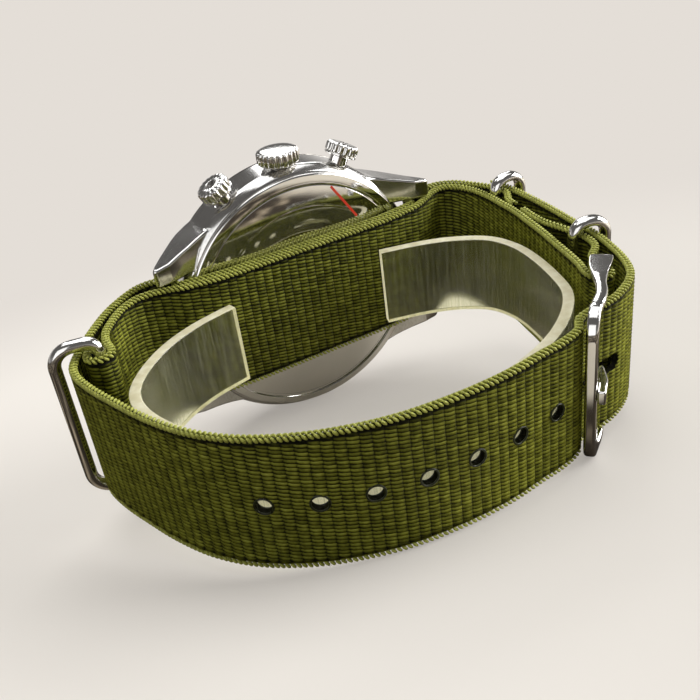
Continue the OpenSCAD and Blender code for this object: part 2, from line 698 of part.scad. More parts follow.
module fourth_wheel() {
    color("goldenrod") on_back() translate([fourth_at.x, fourth_at.y, 0])
        wheel(3.5, 4.15, 0.2, bridge_lo + 0.2, plate_hi - 0.02);
}

module escape_wheel() {
    color("silver") on_back() translate([escape_at.x, escape_at.y, 0]) {
        wheel(1.5, 4.6, 0.2, bridge_lo + 0.2, plate_hi - 0.2, 0.25);
        for (i = [0 : 14]) rotate([0, 0, 24 * i]) translate([1.4, -0.1, 4.6]) cube([0.5, 0.2, 0.2]);
    }
}

module pallet_fork() {
    color("silver") on_back() translate([pallet_at.x, pallet_at.y, 0]) rotate([0, 0, -80]) {
        disc(0.25, 3.6, plate_hi - 0.2);
        disc(0.6, 4.6, 4.8);
        translate([0, -0.2, 4.6]) cube([2.4, 0.4, 0.2]);
        translate([-0.25, -1.1, 4.6]) cube([0.5, 2.2, 0.2]);
    }
}

module balance_wheel() {
    r = balance_d / 2;
    color("gold") on_back() translate([balance_at.x, balance_at.y, 0]) {
        ring(r, r - 0.6, 3.65, 4.15);
        for (a = [0, 120, 240]) rotate([0, 0, a]) translate([0, -0.25, 3.75]) cube([r - 0.3, 0.5, 0.3]);
        disc(0.8, 3.75, 4.05);
        disc(0.25, bridge_lo + 0.2, plate_hi - 0.2);
    }
}

module hairspring() {
    turns = 4;
    steps = 20;
    spiral = [for (i = [0 : turns * steps]) polar(0.5 + 0.4 * i / steps, i * 360 / steps)];
    color("steelblue") on_back() translate([balance_at.x, balance_at.y, 3.3]) {
        linear_extrude(0.2) polygon(concat(side(spiral, 0.05), reversed(side(spiral, -0.05))));
        ring(0.6, 0.25, 0, 0.2);
    }
}

module winding_stem() {
    color("silver") on_back() at_control(0) {
        rod(stem_r, 0, 13.6, crown_end - 0.6);
        rod(0.5, 0, 10.2, 13.7);
    }
}

module winding_pinion() {
    color("silver") on_back() at_control(0) rod(1.1, 0.5 + run_fit, 11.6, 13.5);
}

module column_wheel() {
    color("silver") on_back() translate([column_at.x, column_at.y, 0]) difference() {
        union() {
            disc(1.5, lever_lo + 0.25, lever_lo + lever_t);
            for (i = [0 : 5]) rotate([0, 0, 60 * i]) translate([0.7, -0.25, lever_lo - 0.3]) cube([0.65, 0.5, 0.6]);
        }
        disc(0.3 + run_fit, 0, 20);
    }
}

// Lever pushed by a pusher: its eye, its arm and the tab that the pusher's stem meets
module lever(pivot, angle, hook) {
    tab = polar(lever_face_r - 1.1, angle);
    difference() {
        union() {
            translate([pivot.x, pivot.y, 0]) disc(1.1, lever_lo, lever_lo + lever_t);
            for (to = [tab, hook]) {
                arm = to - pivot;
                translate([pivot.x, pivot.y, lever_lo]) rotate([0, 0, atan2(arm.y, arm.x)])
                    translate([0, -0.6, 0]) cube([norm(arm) + 0.2, 1.2, lever_t]);
            }
            rotate([0, 0, angle]) translate([lever_face_r - 1.6, -0.9, lever_lo]) cube([1.2, 1.8, 3.3]);
        }
        translate([pivot.x, pivot.y, 0]) disc(0.3 + run_fit, 0, 20);
    }
}

module operating_lever() {
    color("silver") on_back() lever(lever_pivot, pusher_angle - 90, [8.6, -7.2]);
}

module reset_hammer() {
    color("silver") on_back() lever(hammer_pivot, -pusher_angle - 90, [-7.4, -7]);
}

module chrono_wheel() {
    color("goldenrod") on_back()
        wheel(3.9, chrono_lo, chrono_t, chrono_lo - 0.1, chrono_hand_h - 0.1, chrono_arbor_r);
}

module minute_counter_wheel() {
    color("goldenrod") on_back() translate([counter_at.x, counter_at.y, 0])
        wheel(3, chrono_lo, chrono_t, chrono_lo - 0.1, plate_hi - 0.02);
}

// Crown and pushers
module crown() {
    color("silver") on_back() at_control(0) difference() {
        fluted(crown_r, crown_start, crown_end, crown_flutes, 0.22);
        rod(tube_r + slide_fit, 0, crown_start - 1, crown_tube_end + 0.2);
        rod(stem_r, 0, crown_start - 1, crown_end - 0.6);
    }
}

module pusher(angle) {
    at_control(angle) {
        difference() {
            fluted(pusher_d / 2, pusher_start_r, pusher_end_r, 14, 0.2);
            rod(pusher_tube_r + slide_fit, 0, pusher_start_r - 1, pusher_start_r + pusher_skirt);
            translate([0, 0, pusher_end_r + 0.5]) sphere(r = 1);
        }
        rod(pusher_stem_r, 0, lever_face_r - 0.36, pusher_start_r + pusher_skirt + 0.1);
    }
}

module start_pusher() {
    color("silver") on_back() pusher(pusher_angle);
}

module reset_pusher() {
    color("silver") on_back() pusher(-pusher_angle);
}

// Strap
module band(points, steps = strap_steps) {
    path = curve(points, steps);
    linear_extrude(strap_w, center = true) polygon(concat(side(path, half_t), reversed(side(path, -half_t))));
}

// Something placed on the long strap a length s back from the tang, with y across its thickness
module on_long_strap(s) {
    place = back_along(long_path, tang_step, s);
    translate([place[0].x, place[0].y, 0]) rotate([0, 0, atan2(place[1].y, place[1].x)]) children();
}

module slot(l, w) {
    for (s = [-1, 1]) translate([s * (l - w) / 2, 0, 0]) rotate([90, 0, 0]) cylinder(r = w / 2, h = 4, center = true);
    cube([l - w, 4, w], center = true);
}

module long_strap() {
    color("olivedrab") rest() difference() {
        band(long_points);
        on_long_strap(0) slot(tang_slot, tang_w + 0.6);
        for (k = [1 : hole_count])
            on_long_strap(first_hole + (k - 1) * hole_pitch)
                rotate([90, 0, 0]) cylinder(d = hole_d, h = 4, center = true);
    }
}

module under_strap() {
    color("olivedrab") rest() difference() {
        band(under_points);
        translate([buckle_at.x, buckle_at.y, 0]) cylinder(r = pin_loop_r + half_t + 0.5, h = tang_w + 0.6, center = true);
    }
}

// Rectangular loop of round wire between two places in the plan
module wire_loop(from, to, r, half, bend_r) {
    way = to - from;
    l = norm(way);
    translate([from.x, from.y, 0]) rotate([0, 0, atan2(way.y, way.x)]) translate([l / 2, 0, 0])
        for (s = [0, 1]) {
            mirror([s, 0, 0]) translate([l / 2, 0, 0]) cylinder(r = r, h = 2 * (half - bend_r), center = true);
            mirror([0, 0, s]) translate([0, 0, half]) rotate([0, 90, 0])
                cylinder(r = r, h = l - 2 * bend_r, center = true);
            for (k = [0, 1]) mirror([s, 0, 0]) mirror([0, 0, k])
                translate([l / 2 - bend_r, 0, half - bend_r]) rotate([90, 0, 0])
                    rotate_extrude(angle = 90) translate([bend_r, 0]) circle(r);
        }
}

module strap_ring() {
    color("silver") rest() wire_loop(ring_in, ring_out, ring_r, half_w + 0.5 + ring_r, ring_r + 0.7);
}

module upper_keeper() {
    color("silver") rest() wire_loop(upper_keeper_at, upper_keeper_at + [keeper_span, 0], keeper_r,
        keeper_half, keeper_bend);
}

module lower_keeper() {
    color("silver") rest() wire_loop(lower_keeper_at, lower_keeper_at + polar(keeper_span, lower_turn), keeper_r,
        keeper_half, keeper_bend);
}

// Buckle, with x from the pin to the front bar and y out of the strap
module on_pin() {
    rest() translate([buckle_at.x, buckle_at.y, 0]) rotate([0, 0, buckle_turn]) children();
}

// Side view of the frame: a paddle that holds the pin, a neck, and the front bar with its sloping front
arm_outline = [[-arm_end, -1.1], [-1.2, -1.6], [0.6, -1.5], [2.6, -1.05], [4.6, -0.35], [6.4, 0.25], [8.6, 0.4],
    [buckle_l - bar_w / 2, bar_out - bar_t / 2], [buckle_l + bar_w / 2 - 0.4, bar_out - bar_t / 2],
    [buckle_l + bar_w / 2, bar_out - bar_t / 2 + 0.35], [buckle_l + bar_w / 2 - 0.7, bar_out + bar_t / 2 - 0.1],
    [buckle_l + bar_w / 2 - 1, bar_out + bar_t / 2], [buckle_l - bar_w / 2, bar_out + bar_t / 2],
    [10, 1.7], [7.4, 1.75], [5.4, 1.3], [3, 1.25], [0.6, 1.5], [-1.2, 1.6], [-arm_end, 1.1]];

// Rectangle from behind the pin to x = end, with its two far corners rounded
module frame_plan(end, half, r) {
    translate([-20, -half]) square([20 + end - r, 2 * half]);
    translate([-20, r - half]) square([20 + end, 2 * (half - r)]);
    for (s = [-1, 1]) translate([end - r, s * (half - r)]) circle(r);
}

module buckle_frame() {
    reach = buckle_l + bar_w / 2;
    half = frame_half + arm_t;
    color("silver") on_pin() difference() {
        intersection() {
            linear_extrude(2 * half, center = true) polygon(arm_outline);
            rotate([90, 0, 0]) linear_extrude(8, center = true) difference() {
                frame_plan(reach, half, corner_r);
                frame_plan(reach - bar_w, frame_half, inner_corner_r);
            }
        }
        cylinder(r = pin_r, h = 2 * half + 2, center = true);
    }
}

module buckle_pin() {
    color("silver") on_pin() cylinder(r = pin_r, h = 2 * (frame_half + arm_t), center = true);
}

module buckle_tang() {
    rest_v = bar_out + bar_t / 2 + 0.04 + tang_t / 2;
    way = [[0.4, 0], [5, 0.35], [9.5, 0.95], [buckle_l - bar_w / 2 - 0.6, rest_v - 0.1],
        [buckle_l - bar_w / 2, rest_v], [buckle_l + bar_w / 2 + 0.2, rest_v]];
    color("silver") on_pin() difference() {
        union() {
            linear_extrude(tang_w, center = true)
                polygon(concat(side(way, tang_t / 2), reversed(side(way, -tang_t / 2))));
            cylinder(r = pin_r + 0.9, h = tang_w, center = true);
        }
        cylinder(r = pin_r + run_fit, h = tang_w + 2, center = true);
    }
}

module display_insert() {
    path = curve(insert_points, 3);
    color("whitesmoke", 0.5) rest() translate([0, 0, insert_z]) linear_extrude(insert_h, center = true)
        polygon(concat(path, reversed(side(path, insert_t))));
}

mid_case();
bezel();
crystal();
crystal_gasket();
dial_ring();
case_back();
back_gasket();
crown_tube();
pusher_tubes();
movement_ring();
ring_clamps();
spring_bars();
dial();
hour_markers();
subdial_rims();
hour_hand();
minute_hand();
chrono_hand();
small_seconds_hand();
minute_counter_hand();
mainplate();
train_bridge();
barrel_bridge();
balance_cock();
bridge_screws();
barrel();
mainspring();
ratchet_wheel();
crown_wheel();
centre_wheel();
third_wheel();
fourth_wheel();
escape_wheel();
pallet_fork();
balance_wheel();
hairspring();
winding_stem();
winding_pinion();
column_wheel();
operating_lever();
reset_hammer();
chrono_wheel();
minute_counter_wheel();
crown();
start_pusher();
reset_pusher();
under_strap();
long_strap();
strap_ring();
upper_keeper();
lower_keeper();
buckle_frame();
buckle_pin();
buckle_tang();
display_insert();
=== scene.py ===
"""Pilot watch on a pass-through nylon strap: weave, steel, dial, insert and stage round the packed part."""

import json
import math
from bisect import bisect_right

import bmesh
import bpy
from mathutils import Matrix, Vector


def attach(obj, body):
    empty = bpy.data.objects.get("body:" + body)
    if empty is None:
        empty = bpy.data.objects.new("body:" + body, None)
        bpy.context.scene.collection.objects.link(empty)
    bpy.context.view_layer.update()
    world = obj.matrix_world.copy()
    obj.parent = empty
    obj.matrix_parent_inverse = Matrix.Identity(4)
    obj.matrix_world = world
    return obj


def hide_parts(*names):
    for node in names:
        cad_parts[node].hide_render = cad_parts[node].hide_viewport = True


bl_info = {
    "name": "Pilot watch finish",
    "version": (1, 0, 0),
    "blender": (4, 5, 0),
    "location": "View3D > Sidebar > Watch",
    "description": "Dresses the packed pilot watch with its weave, steel, dial, insert and stage",
    "category": "Object",
}

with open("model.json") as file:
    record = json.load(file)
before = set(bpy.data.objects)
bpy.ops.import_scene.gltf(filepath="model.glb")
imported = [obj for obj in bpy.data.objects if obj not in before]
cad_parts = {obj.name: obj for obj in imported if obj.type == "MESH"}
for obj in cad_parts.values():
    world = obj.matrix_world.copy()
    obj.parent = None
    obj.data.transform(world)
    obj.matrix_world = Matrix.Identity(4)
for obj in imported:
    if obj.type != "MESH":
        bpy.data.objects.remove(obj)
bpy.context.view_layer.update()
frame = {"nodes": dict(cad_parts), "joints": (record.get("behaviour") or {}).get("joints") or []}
MM = 0.001


def packed_joint(name):
    return next(joint for joint in frame["joints"] if joint["name"] == name)


def axes_at(x_way, y_way, z_way, origin):
    """Matrix that turns the three axes to these ways and moves their origin to a place."""
    made = Matrix((x_way, y_way, z_way)).transposed().to_4x4()
    made.translation = origin
    return made


# The watch's own axes: x to 12 o'clock, y from the wrist to the dial, z to the crown
DIAL_WAY = Vector(packed_joint("minutes_turn")["axis"]).normalized()
CROWN_WAY = Vector(packed_joint("crown_turn")["axis"]).normalized()
NOON_WAY = DIAL_WAY.cross(CROWN_WAY).normalized()
CONTROL_H = 4.2
CROWN_PIVOT_Z = 12.5
CENTRE = Vector(packed_joint("crown_turn")["pos_m"]) - (CONTROL_H * DIAL_WAY + CROWN_PIVOT_Z * CROWN_WAY) * MM
WATCH = axes_at(NOON_WAY, DIAL_WAY, CROWN_WAY, CENTRE)

# Case, in millimetres: radii, and heights above the case back
BACK_R = 20.0
BACK_FLAT_R = 11.0
BACK_RIM_LO = 1.0
BACK_RIM_HI = 1.45
BACK_THREAD_R = 18.2
BACK_RECESS_R = 17.0
BACK_SPIGOT_HI = 2.4
BACK_WALL = 1.2
FLANK_HI = 8.4
BEZEL_R = 20.5
BEZEL_BORE_R = 17.0
BEZEL_TOP = 10.6
CRYSTAL_R = 16.6
CRYSTAL_LO = 9.4
CRYSTAL_EDGE_HI = 11.2
CRYSTAL_RISE = 1.2
DIAL_HI = 7.3
SUBDIAL_AT = 8.2
SUBDIAL_R = 4.5
CROWN_R = 3.3
CROWN_START = 21.7
CROWN_END = 23.9
TUBE_R = 1.5
PUSHER_ANGLE = 28.0
PUSHER_R = 2.6
PUSHER_START = 22.4
PUSHER_END = 24.5
PUSHER_TUBE_R = 1.45
PUSHER_STEM_R = 0.9
PUSHER_STEM_START = 14.54
PUSHER_SKIRT = 1.35

# Strap, loops, buckle and insert, in millimetres
HALF_W = 10.0
HALF_T = 0.6
LAY_GAP = 0.1
LAYER = 2 * HALF_T + LAY_GAP
BAR_R = 0.9
SPRING_BAR = Vector((22.45, 2.2))
RING_R = 1.0
KEEPER_R = 0.9
KEEPER_SPAN = 5.0
WIRE_ROOM = 0.05
RING_IN = Vector((-36.3, -11))
RING_OUT = Vector((-42, -9.8))
RING_LOOP_R = RING_R + LAY_GAP + HALF_T
BUCKLE_AT = Vector((26.2, -37.7))
BUCKLE_TURN = 221.8
BUCKLE_L = 14.4
BUCKLE_BAR_T = 1.6
BUCKLE_BAR_W = 2.8
PADDLE_END = 1.7
BUCKLE_BAR_OUT = 0.5
PIN_R = 0.75
PIN_LOOP_R = PIN_R + LAY_GAP + HALF_T
FRAME_HALF = 10.3
ARM_T = 1.2
TANG_W = 2.0
TANG_SLOT = 7.4
FIRST_HOLE = 11.6
HOLE_PITCH = 6.5
HOLE_COUNT = 7
HOLE_R = 1.1
UPPER_UNDER = Vector((31.4, -6))
LOWER_UNDER = Vector((27.9, -26.5))
LOWER_TURN = -14.5
LOWER_KEEPER_ROOM = 1.4
INSERT_H = 12.5
INSERT_T = 1.6
INSERT_Z = 1.0


def polar(r, degrees):
    return Vector((r * math.cos(math.radians(degrees)), r * math.sin(math.radians(degrees))))


def on_buckle(u, v):
    """Place in the plan of the loop of a point given along the buckle and out of it."""
    c, s = math.cos(math.radians(BUCKLE_TURN)), math.sin(math.radians(BUCKLE_TURN))
    return BUCKLE_AT + Vector((u * c - v * s, u * s + v * c))


def plan(*points, at=(0, 0)):
    """Points in the plan of the loop, given from a place."""
    return [Vector(at) + Vector(p) for p in points]


def mirrored(points):
    return [Vector((-p.x, p.y)) for p in points]


WIRE_TO_STRAP = HALF_T + WIRE_ROOM + KEEPER_R
UPPER_KEEPER_AT = UPPER_UNDER + Vector((WIRE_TO_STRAP, 0))
LOWER_KEEPER_AT = LOWER_UNDER + polar(WIRE_TO_STRAP + LOWER_KEEPER_ROOM, LOWER_TURN)
FOLD_ANGLES = range(180, 361, 45)


def under_route():
    """Control points of the under strap's middle line: ring loop, behind the case, pin loop, and back."""
    mid = -HALF_T - LAYER - LAY_GAP
    half = plan((3, mid), (8, mid), (13, mid + 0.04), (16, mid + 0.28), (18.2, mid + 0.68),
                (19.8, mid + 0.94), (21, mid + 1.3), (22.2, mid + 1.9))
    past_keeper = LOWER_KEEPER_AT + polar(WIRE_TO_STRAP, LOWER_TURN)
    return (
        plan((-36, -7.8), (-37.15, -9.2))
        + [RING_IN + polar(RING_LOOP_R, a) for a in FOLD_ANGLES]
        + plan((-34.6, -9.6), (-34.5, -8), (-33.7, -5.6), (-31.6, -2.6), (-29.6, -0.6), (-27.2, 0.6),
               (-24.6, 0.6))
        + mirrored(half)[::-1] + half
        + plan((23.6, 0.7), (25.2, 1.7), (27, 2.4), (28.8, 1.9), (30.3, 0.2))
        + plan((-0.15, 3.2), (0, 0), (-0.3, -4), at=UPPER_UNDER)
        + plan((30.7, -14), (29.9, -18))
        + plan(polar(4.4, 90 + LOWER_TURN), (0, 0), polar(-4.4, 90 + LOWER_TURN), at=LOWER_UNDER)
        + plan((-0.2, 4.1), (-0.95, 2.3), (-1.36, 1.1), at=BUCKLE_AT)
        + [BUCKLE_AT + polar(PIN_LOOP_R, a) for a in FOLD_ANGLES]
        + plan((1.5, 1.1), (1.8, 2.4), (2.4, 4.2), at=BUCKLE_AT)
        + [past_keeper + polar(3.6, LOWER_TURN - 90), past_keeper]
        + plan((31.8, -23.4), (31.35, -20.6), (31.5, -17.6), (31.97, -14.8))
    )


def long_route():
    """Control points of the long strap's middle line up to the tang, and those after it."""
    over_bar = BAR_R + LAY_GAP + HALF_T
    mid = -HALF_T - LAY_GAP
    room = KEEPER_SPAN - KEEPER_R - WIRE_ROOM - HALF_T
    under_bar = BUCKLE_BAR_OUT - BUCKLE_BAR_T / 2 - LAY_GAP - HALF_T
    half = plan((3, mid), (8, mid), (13, mid + 0.05), (16, mid + 0.35), (18.2, mid + 0.75),
                (19.6, mid + 0.95), (20.6, mid + 1.3), (20.93, mid + 2.05))
    half += [SPRING_BAR + polar(over_bar, a) for a in range(180, 60, -30)]
    start = (
        plan((LAYER - 0.3, -5.6), (LAYER + 0.15, -3.6), at=UPPER_UNDER)
        + plan((WIRE_TO_STRAP, -0.9), (WIRE_TO_STRAP - 0.35, 2.2), at=UPPER_KEEPER_AT)
        + plan((32.8, -0.7), (31, 2.3), (28.5, 4), (26, 4.3), (24, SPRING_BAR.y + over_bar + 0.25))
        + half[::-1] + mirrored(half)
        + plan((-24.4, 4.1), (-26.6, 3.6), (-29.6, 1.7), (-32.8, -1.2), (-36.8, -6.3), (-39.7, -11),
               (-40.4, -14.2), (-39.7, -18.5), (-38.2, -23.4), (-36.1, -29.3), (-33.4, -34.7), (-29.6, -39.4),
               (-24.6, -43.2), (-19, -46), (-12.5, -48), (-5, -48.9), (1.6, -48.9), (7.2, -48.2),
               (10.8, -47.8))
        + [on_buckle(BUCKLE_L + u, under_bar - 0.3) for u in (0.9, -0.5, -2)]
        + [on_buckle(BUCKLE_L - 3.8, -0.4)]
    )
    end = (
        [on_buckle(BUCKLE_L - 6, 1.3), on_buckle(BUCKLE_L - 9, 2.9), on_buckle(1.4, 3.9)]
        + plan((30.1, -39), (32.2, -34.6))
        + [LOWER_KEEPER_AT + polar(room - 0.1, LOWER_TURN)]
        + plan((34.6, -22.5), (35.3, -17), (35.75, -11.5))
        + plan((room - 0.5, 0), (room - 0.7, 3.7), at=UPPER_KEEPER_AT)
    )
    return start, end


INSERT_ROUTE = plan(
    (-15.9, -6.35), (-22.2, -7.9), (-27.8, -10.6), (-32.6, -14.8), (-35.6, -19.6), (-35.8, -25.4),
    (-33.2, -32.3), (-28.2, -38.4), (-21, -43.4), (-12, -46.7), (-4, -47.6), (4, -47), (12, -44.6),
    (18.2, -41), (22.6, -36.6), (24.7, -31.8), (26.4, -25), (26.8, -19.6), (25.4, -14.6), (21.4, -10.8),
    (16.5, -8.3), (9.9, -6.3))


class Route:
    """Smooth line through control points in the plan of the loop, walked by its length in millimetres."""

    def __init__(self, points, steps=16):
        self.steps = steps
        self.points = []
        for i in range(len(points) - 1):
            a, b, c = points[max(i - 1, 0)], points[i], points[i + 1]
            d = points[min(i + 2, len(points) - 1)]
            for k in range(steps):
                t = k / steps
                self.points.append(0.5 * (2 * b + (c - a) * t + (2 * a - 5 * b + 4 * c - d) * t * t
                                          + (3 * b - a - 3 * c + d) * t * t * t))
        self.points.append(points[-1].copy())
        self.reach = [0.0]
        for p, q in zip(self.points, self.points[1:]):
            self.reach.append(self.reach[-1] + (q - p).length)
        self.length = self.reach[-1]

    def at(self, s):
        """Place and heading a length s along the line."""
        s = min(max(s, 0.0), self.length)
        lo = min(bisect_right(self.reach, s) - 1, len(self.reach) - 2)
        hi = lo + 1
        share = (s - self.reach[lo]) / max(self.reach[hi] - self.reach[lo], 1e-9)
        place = self.points[lo].lerp(self.points[hi], share)
        before = self.points[max(lo - 1, 0)].lerp(self.points[lo], share)
        after = self.points[hi].lerp(self.points[min(hi + 1, len(self.points) - 1)], share)
        return place, (after - before).normalized()

    def walk(self, steps):
        """Places and headings at even steps from one end to the other."""
        return [self.at(self.length * i / steps) for i in range(steps + 1)]


LONG_START, LONG_END = long_route()
LONG = Route(LONG_START + LONG_END)
UNDER = Route(under_route())
# The tang passes through a quarter of the way before the first control point after it
TANG_REACH = LONG.reach[round((len(LONG_START) - 0.25) * LONG.steps)]


def left_of(heading):
    return Vector((-heading.y, heading.x))


def plan_way(v):
    """Direction in the scene of a direction in the plan of the loop."""
    return (NOON_WAY * v[0] + DIAL_WAY * v[1]).normalized()


def at_watch(x, h, z):
    """Place in the scene of a point in the watch's axes, in millimetres."""
    return WATCH @ Vector((x * MM, h * MM, z * MM))


def over_plan(place, z):
    """Place in the scene of a point of the plan of the loop, moved by z towards the crown."""
    return at_watch(place.x, place.y, z)


def turns(count, shift=0.0):
    """Cosine and sine of even angles round a full turn."""
    return [(math.cos(a), math.sin(a)) for a in (2 * math.pi * (k + shift) / count for k in range(count))]


def colour_of(r, g, b):
    """Linear colour from sRGB values of 0 to 255."""
    linear = [(c / 255 / 12.92) if c <= 10 else ((c / 255 + 0.055) / 1.055) ** 2.4 for c in (r, g, b)]
    return (*linear, 1.0)


def dimmed(colour, share):
    return tuple(c * share for c in colour[:3]) + (1.0,)


class StrapSettings(bpy.types.PropertyGroup):
    """Sizes and colours of the woven strap."""

    rib_pitch: bpy.props.FloatProperty(
        name="Rib pitch", description="Distance from one woven rib to the next", default=1.44 * MM,
        unit="LENGTH")
    rib_relief: bpy.props.FloatProperty(
        name="Rib relief", description="Depth of the groove between two ribs", default=0.22 * MM,
        unit="LENGTH")
    float_pitch: bpy.props.FloatProperty(
        name="Thread pitch", description="Distance between the thread floats across a rib", default=0.57 * MM,
        unit="LENGTH")
    float_relief: bpy.props.FloatProperty(
        name="Thread relief", description="Depth between two thread floats", default=0.2 * MM, unit="LENGTH")
    braid_w: bpy.props.FloatProperty(
        name="Edge width", description="Width of the corded edge", default=0.9 * MM, unit="LENGTH")
    braid_pitch: bpy.props.FloatProperty(
        name="Edge stitch pitch", description="Distance between two turns of the plaited edge",
        default=0.68 * MM, unit="LENGTH")
    thread: bpy.props.FloatVectorProperty(
        name="Thread", description="Colour of the threads in the light", subtype="COLOR", size=4,
        default=colour_of(138, 142, 46))
    shade: bpy.props.FloatVectorProperty(
        name="Shade", description="Colour between the threads", subtype="COLOR", size=4,
        default=colour_of(11, 11, 2))
    edge: bpy.props.FloatVectorProperty(
        name="Edge", description="Colour of the corded edge", subtype="COLOR", size=4,
        default=colour_of(186, 189, 88))


class SteelSettings(bpy.types.PropertyGroup):
    """Finish of the steel."""

    tint: bpy.props.FloatVectorProperty(
        name="Steel", description="Reflection colour of the steel", subtype="COLOR", size=4,
        default=(0.74, 0.73, 0.71, 1))
    polish: bpy.props.FloatProperty(
        name="Polish", description="Roughness of the polished steel", default=0.09, subtype="FACTOR")
    brush: bpy.props.FloatProperty(
        name="Brush", description="Roughness of the brushed steel", default=0.24, subtype="FACTOR")


class DialSettings(bpy.types.PropertyGroup):
    """Colours of the dial and sizes of what is printed on it."""

    ground: bpy.props.FloatVectorProperty(
        name="Dial", description="Colour of the dial", subtype="COLOR", size=4, default=colour_of(24, 24, 26))
    lume: bpy.props.FloatVectorProperty(
        name="Luminous paint", description="Colour of the numbers and hands", subtype="COLOR", size=4,
        default=colour_of(226, 218, 184))
    number_h: bpy.props.FloatProperty(
        name="Number height", description="Height of the hour numbers", default=2.5 * MM, unit="LENGTH")
    number_r: bpy.props.FloatProperty(
        name="Number circle", description="Radius at which the numbers stand", default=11.3 * MM,
        unit="LENGTH")


class StageSettings(bpy.types.PropertyGroup):
    """Backdrop and light."""

    ground: bpy.props.FloatVectorProperty(
        name="Backdrop", description="Colour of the floor and backdrop", subtype="COLOR", size=4,
        default=colour_of(228, 222, 215))
    paper: bpy.props.FloatVectorProperty(
        name="Paper", description="Colour of the floor itself near the watch", subtype="COLOR", size=4,
        default=colour_of(229, 224, 216))
    near: bpy.props.FloatProperty(
        name="Near", description="Distance from the watch up to which the floor shows its own shading",
        default=0.035, unit="LENGTH")
    far: bpy.props.FloatProperty(
        name="Far", description="Distance from the watch beyond which the floor is one even colour",
        default=0.18, unit="LENGTH")
    light: bpy.props.FloatProperty(
        name="Light", description="Brightness of all the soft lights together", default=1.0)


SETTINGS = {"watch_strap": StrapSettings, "watch_steel": SteelSettings, "watch_dial": DialSettings,
            "watch_stage": StageSettings}


# Nodes


def plug(socket, value):
    """Links a socket to another one or to a node's value, or sets it."""
    if isinstance(value, Value):
        value = value.socket
    if isinstance(value, bpy.types.NodeSocket):
        socket.id_data.links.new(value, socket)
    elif value is not None:
        socket.default_value = value


def node(tree, kind, inputs=None, **settings):
    made = tree.nodes.new(kind)
    for key, value in settings.items():
        setattr(made, key, value)
    for key, value in (inputs or {}).items():
        plug(made.inputs[key], value)
    return made


class Value:
    """What a node gives. Arithmetic on it, and each method, adds a node and gives the new value."""

    def __init__(self, made, output=0):
        self.socket = made.outputs[output]

    def then(self, kind, inputs, output=0, **settings):
        return Value(node(self.socket.id_data, kind, inputs, **settings), output)

    def math(self, operation, other=None):
        return self.then("ShaderNodeMath", {0: self, 1: other}, operation=operation)

    def __add__(self, other):
        return self.math("ADD", other)

    def __sub__(self, other):
        return self.math("SUBTRACT", other)

    def __rsub__(self, other):
        return self.then("ShaderNodeMath", {0: other, 1: self}, operation="SUBTRACT")

    def __mul__(self, other):
        return self.math("MULTIPLY", other)

    def __truediv__(self, other):
        return self.math("DIVIDE", other)

    def vector(self, operation, other=None, output="Value"):
        return self.then("ShaderNodeVectorMath", {0: self, 1: other}, output, operation=operation)

    def axes(self):
        split = self.then("ShaderNodeSeparateXYZ", {"Vector": self}).socket.node
        return [Value(split, i) for i in range(3)]

    def stretched(self, *scale):
        return self.then("ShaderNodeMapping", {"Vector": self, "Scale": scale}, "Vector")

    def noise(self, scale, detail):
        return self.then("ShaderNodeTexNoise", {"Vector": self, "Scale": scale, "Detail": detail}, "Fac")

    def spread(self, from_lo, from_hi, to_lo=0.0, to_hi=1.0, curve="LINEAR"):
        """The value taken from one range to another and held inside it."""
        return self.then("ShaderNodeMapRange", {"Value": self, "From Min": from_lo, "From Max": from_hi,
                                                "To Min": to_lo, "To Max": to_hi}, "Result",
                         interpolation_type=curve)

    def mix(self, a, b):
        """Colour a where the value is 0, and b where it is 1."""
        return self.then("ShaderNodeMix", {"Factor": self, "A": a, "B": b}, "Result", data_type="RGBA")

    def bump(self, height, strength=1.0):
        """Normal of a surface on which the value 1 stands a height (mm) above 0."""
        return self.then("ShaderNodeBump", {"Height": self, "Distance": height * MM, "Strength": strength},
                         "Normal")


class Paint:
    """A new material with its node tree, its shader and the place on the object."""

    def __init__(self, name, **sockets):
        self.material = bpy.data.materials.new(name)
        self.material.use_nodes = True
        self.tree = self.material.node_tree
        self.shader = self.tree.nodes["Principled BSDF"]
        self.place = Value(node(self.tree, "ShaderNodeTexCoord"), "Object")
        self.set(**sockets)

    def attribute(self, name):
        return Value(node(self.tree, "ShaderNodeAttribute", attribute_name=name), "Fac")

    def on_watch(self):
        """Place on the object in the watch's own axes, so that brushing and stripes follow the case."""
        turn = WATCH.to_3x3().inverted().to_euler()
        local = self.place.vector("SUBTRACT", tuple(CENTRE), "Vector")
        return local.then("ShaderNodeMapping", {"Vector": local, "Rotation": tuple(turn)}, "Vector")

    def set(self, **sockets):
        """Sets or links sockets of the shader, and gives the material."""
        for key, value in sockets.items():
            plug(self.shader.inputs[key.replace("_", " ")], value)
        return self.material


# Materials

RIDGE_POWER = 0.45


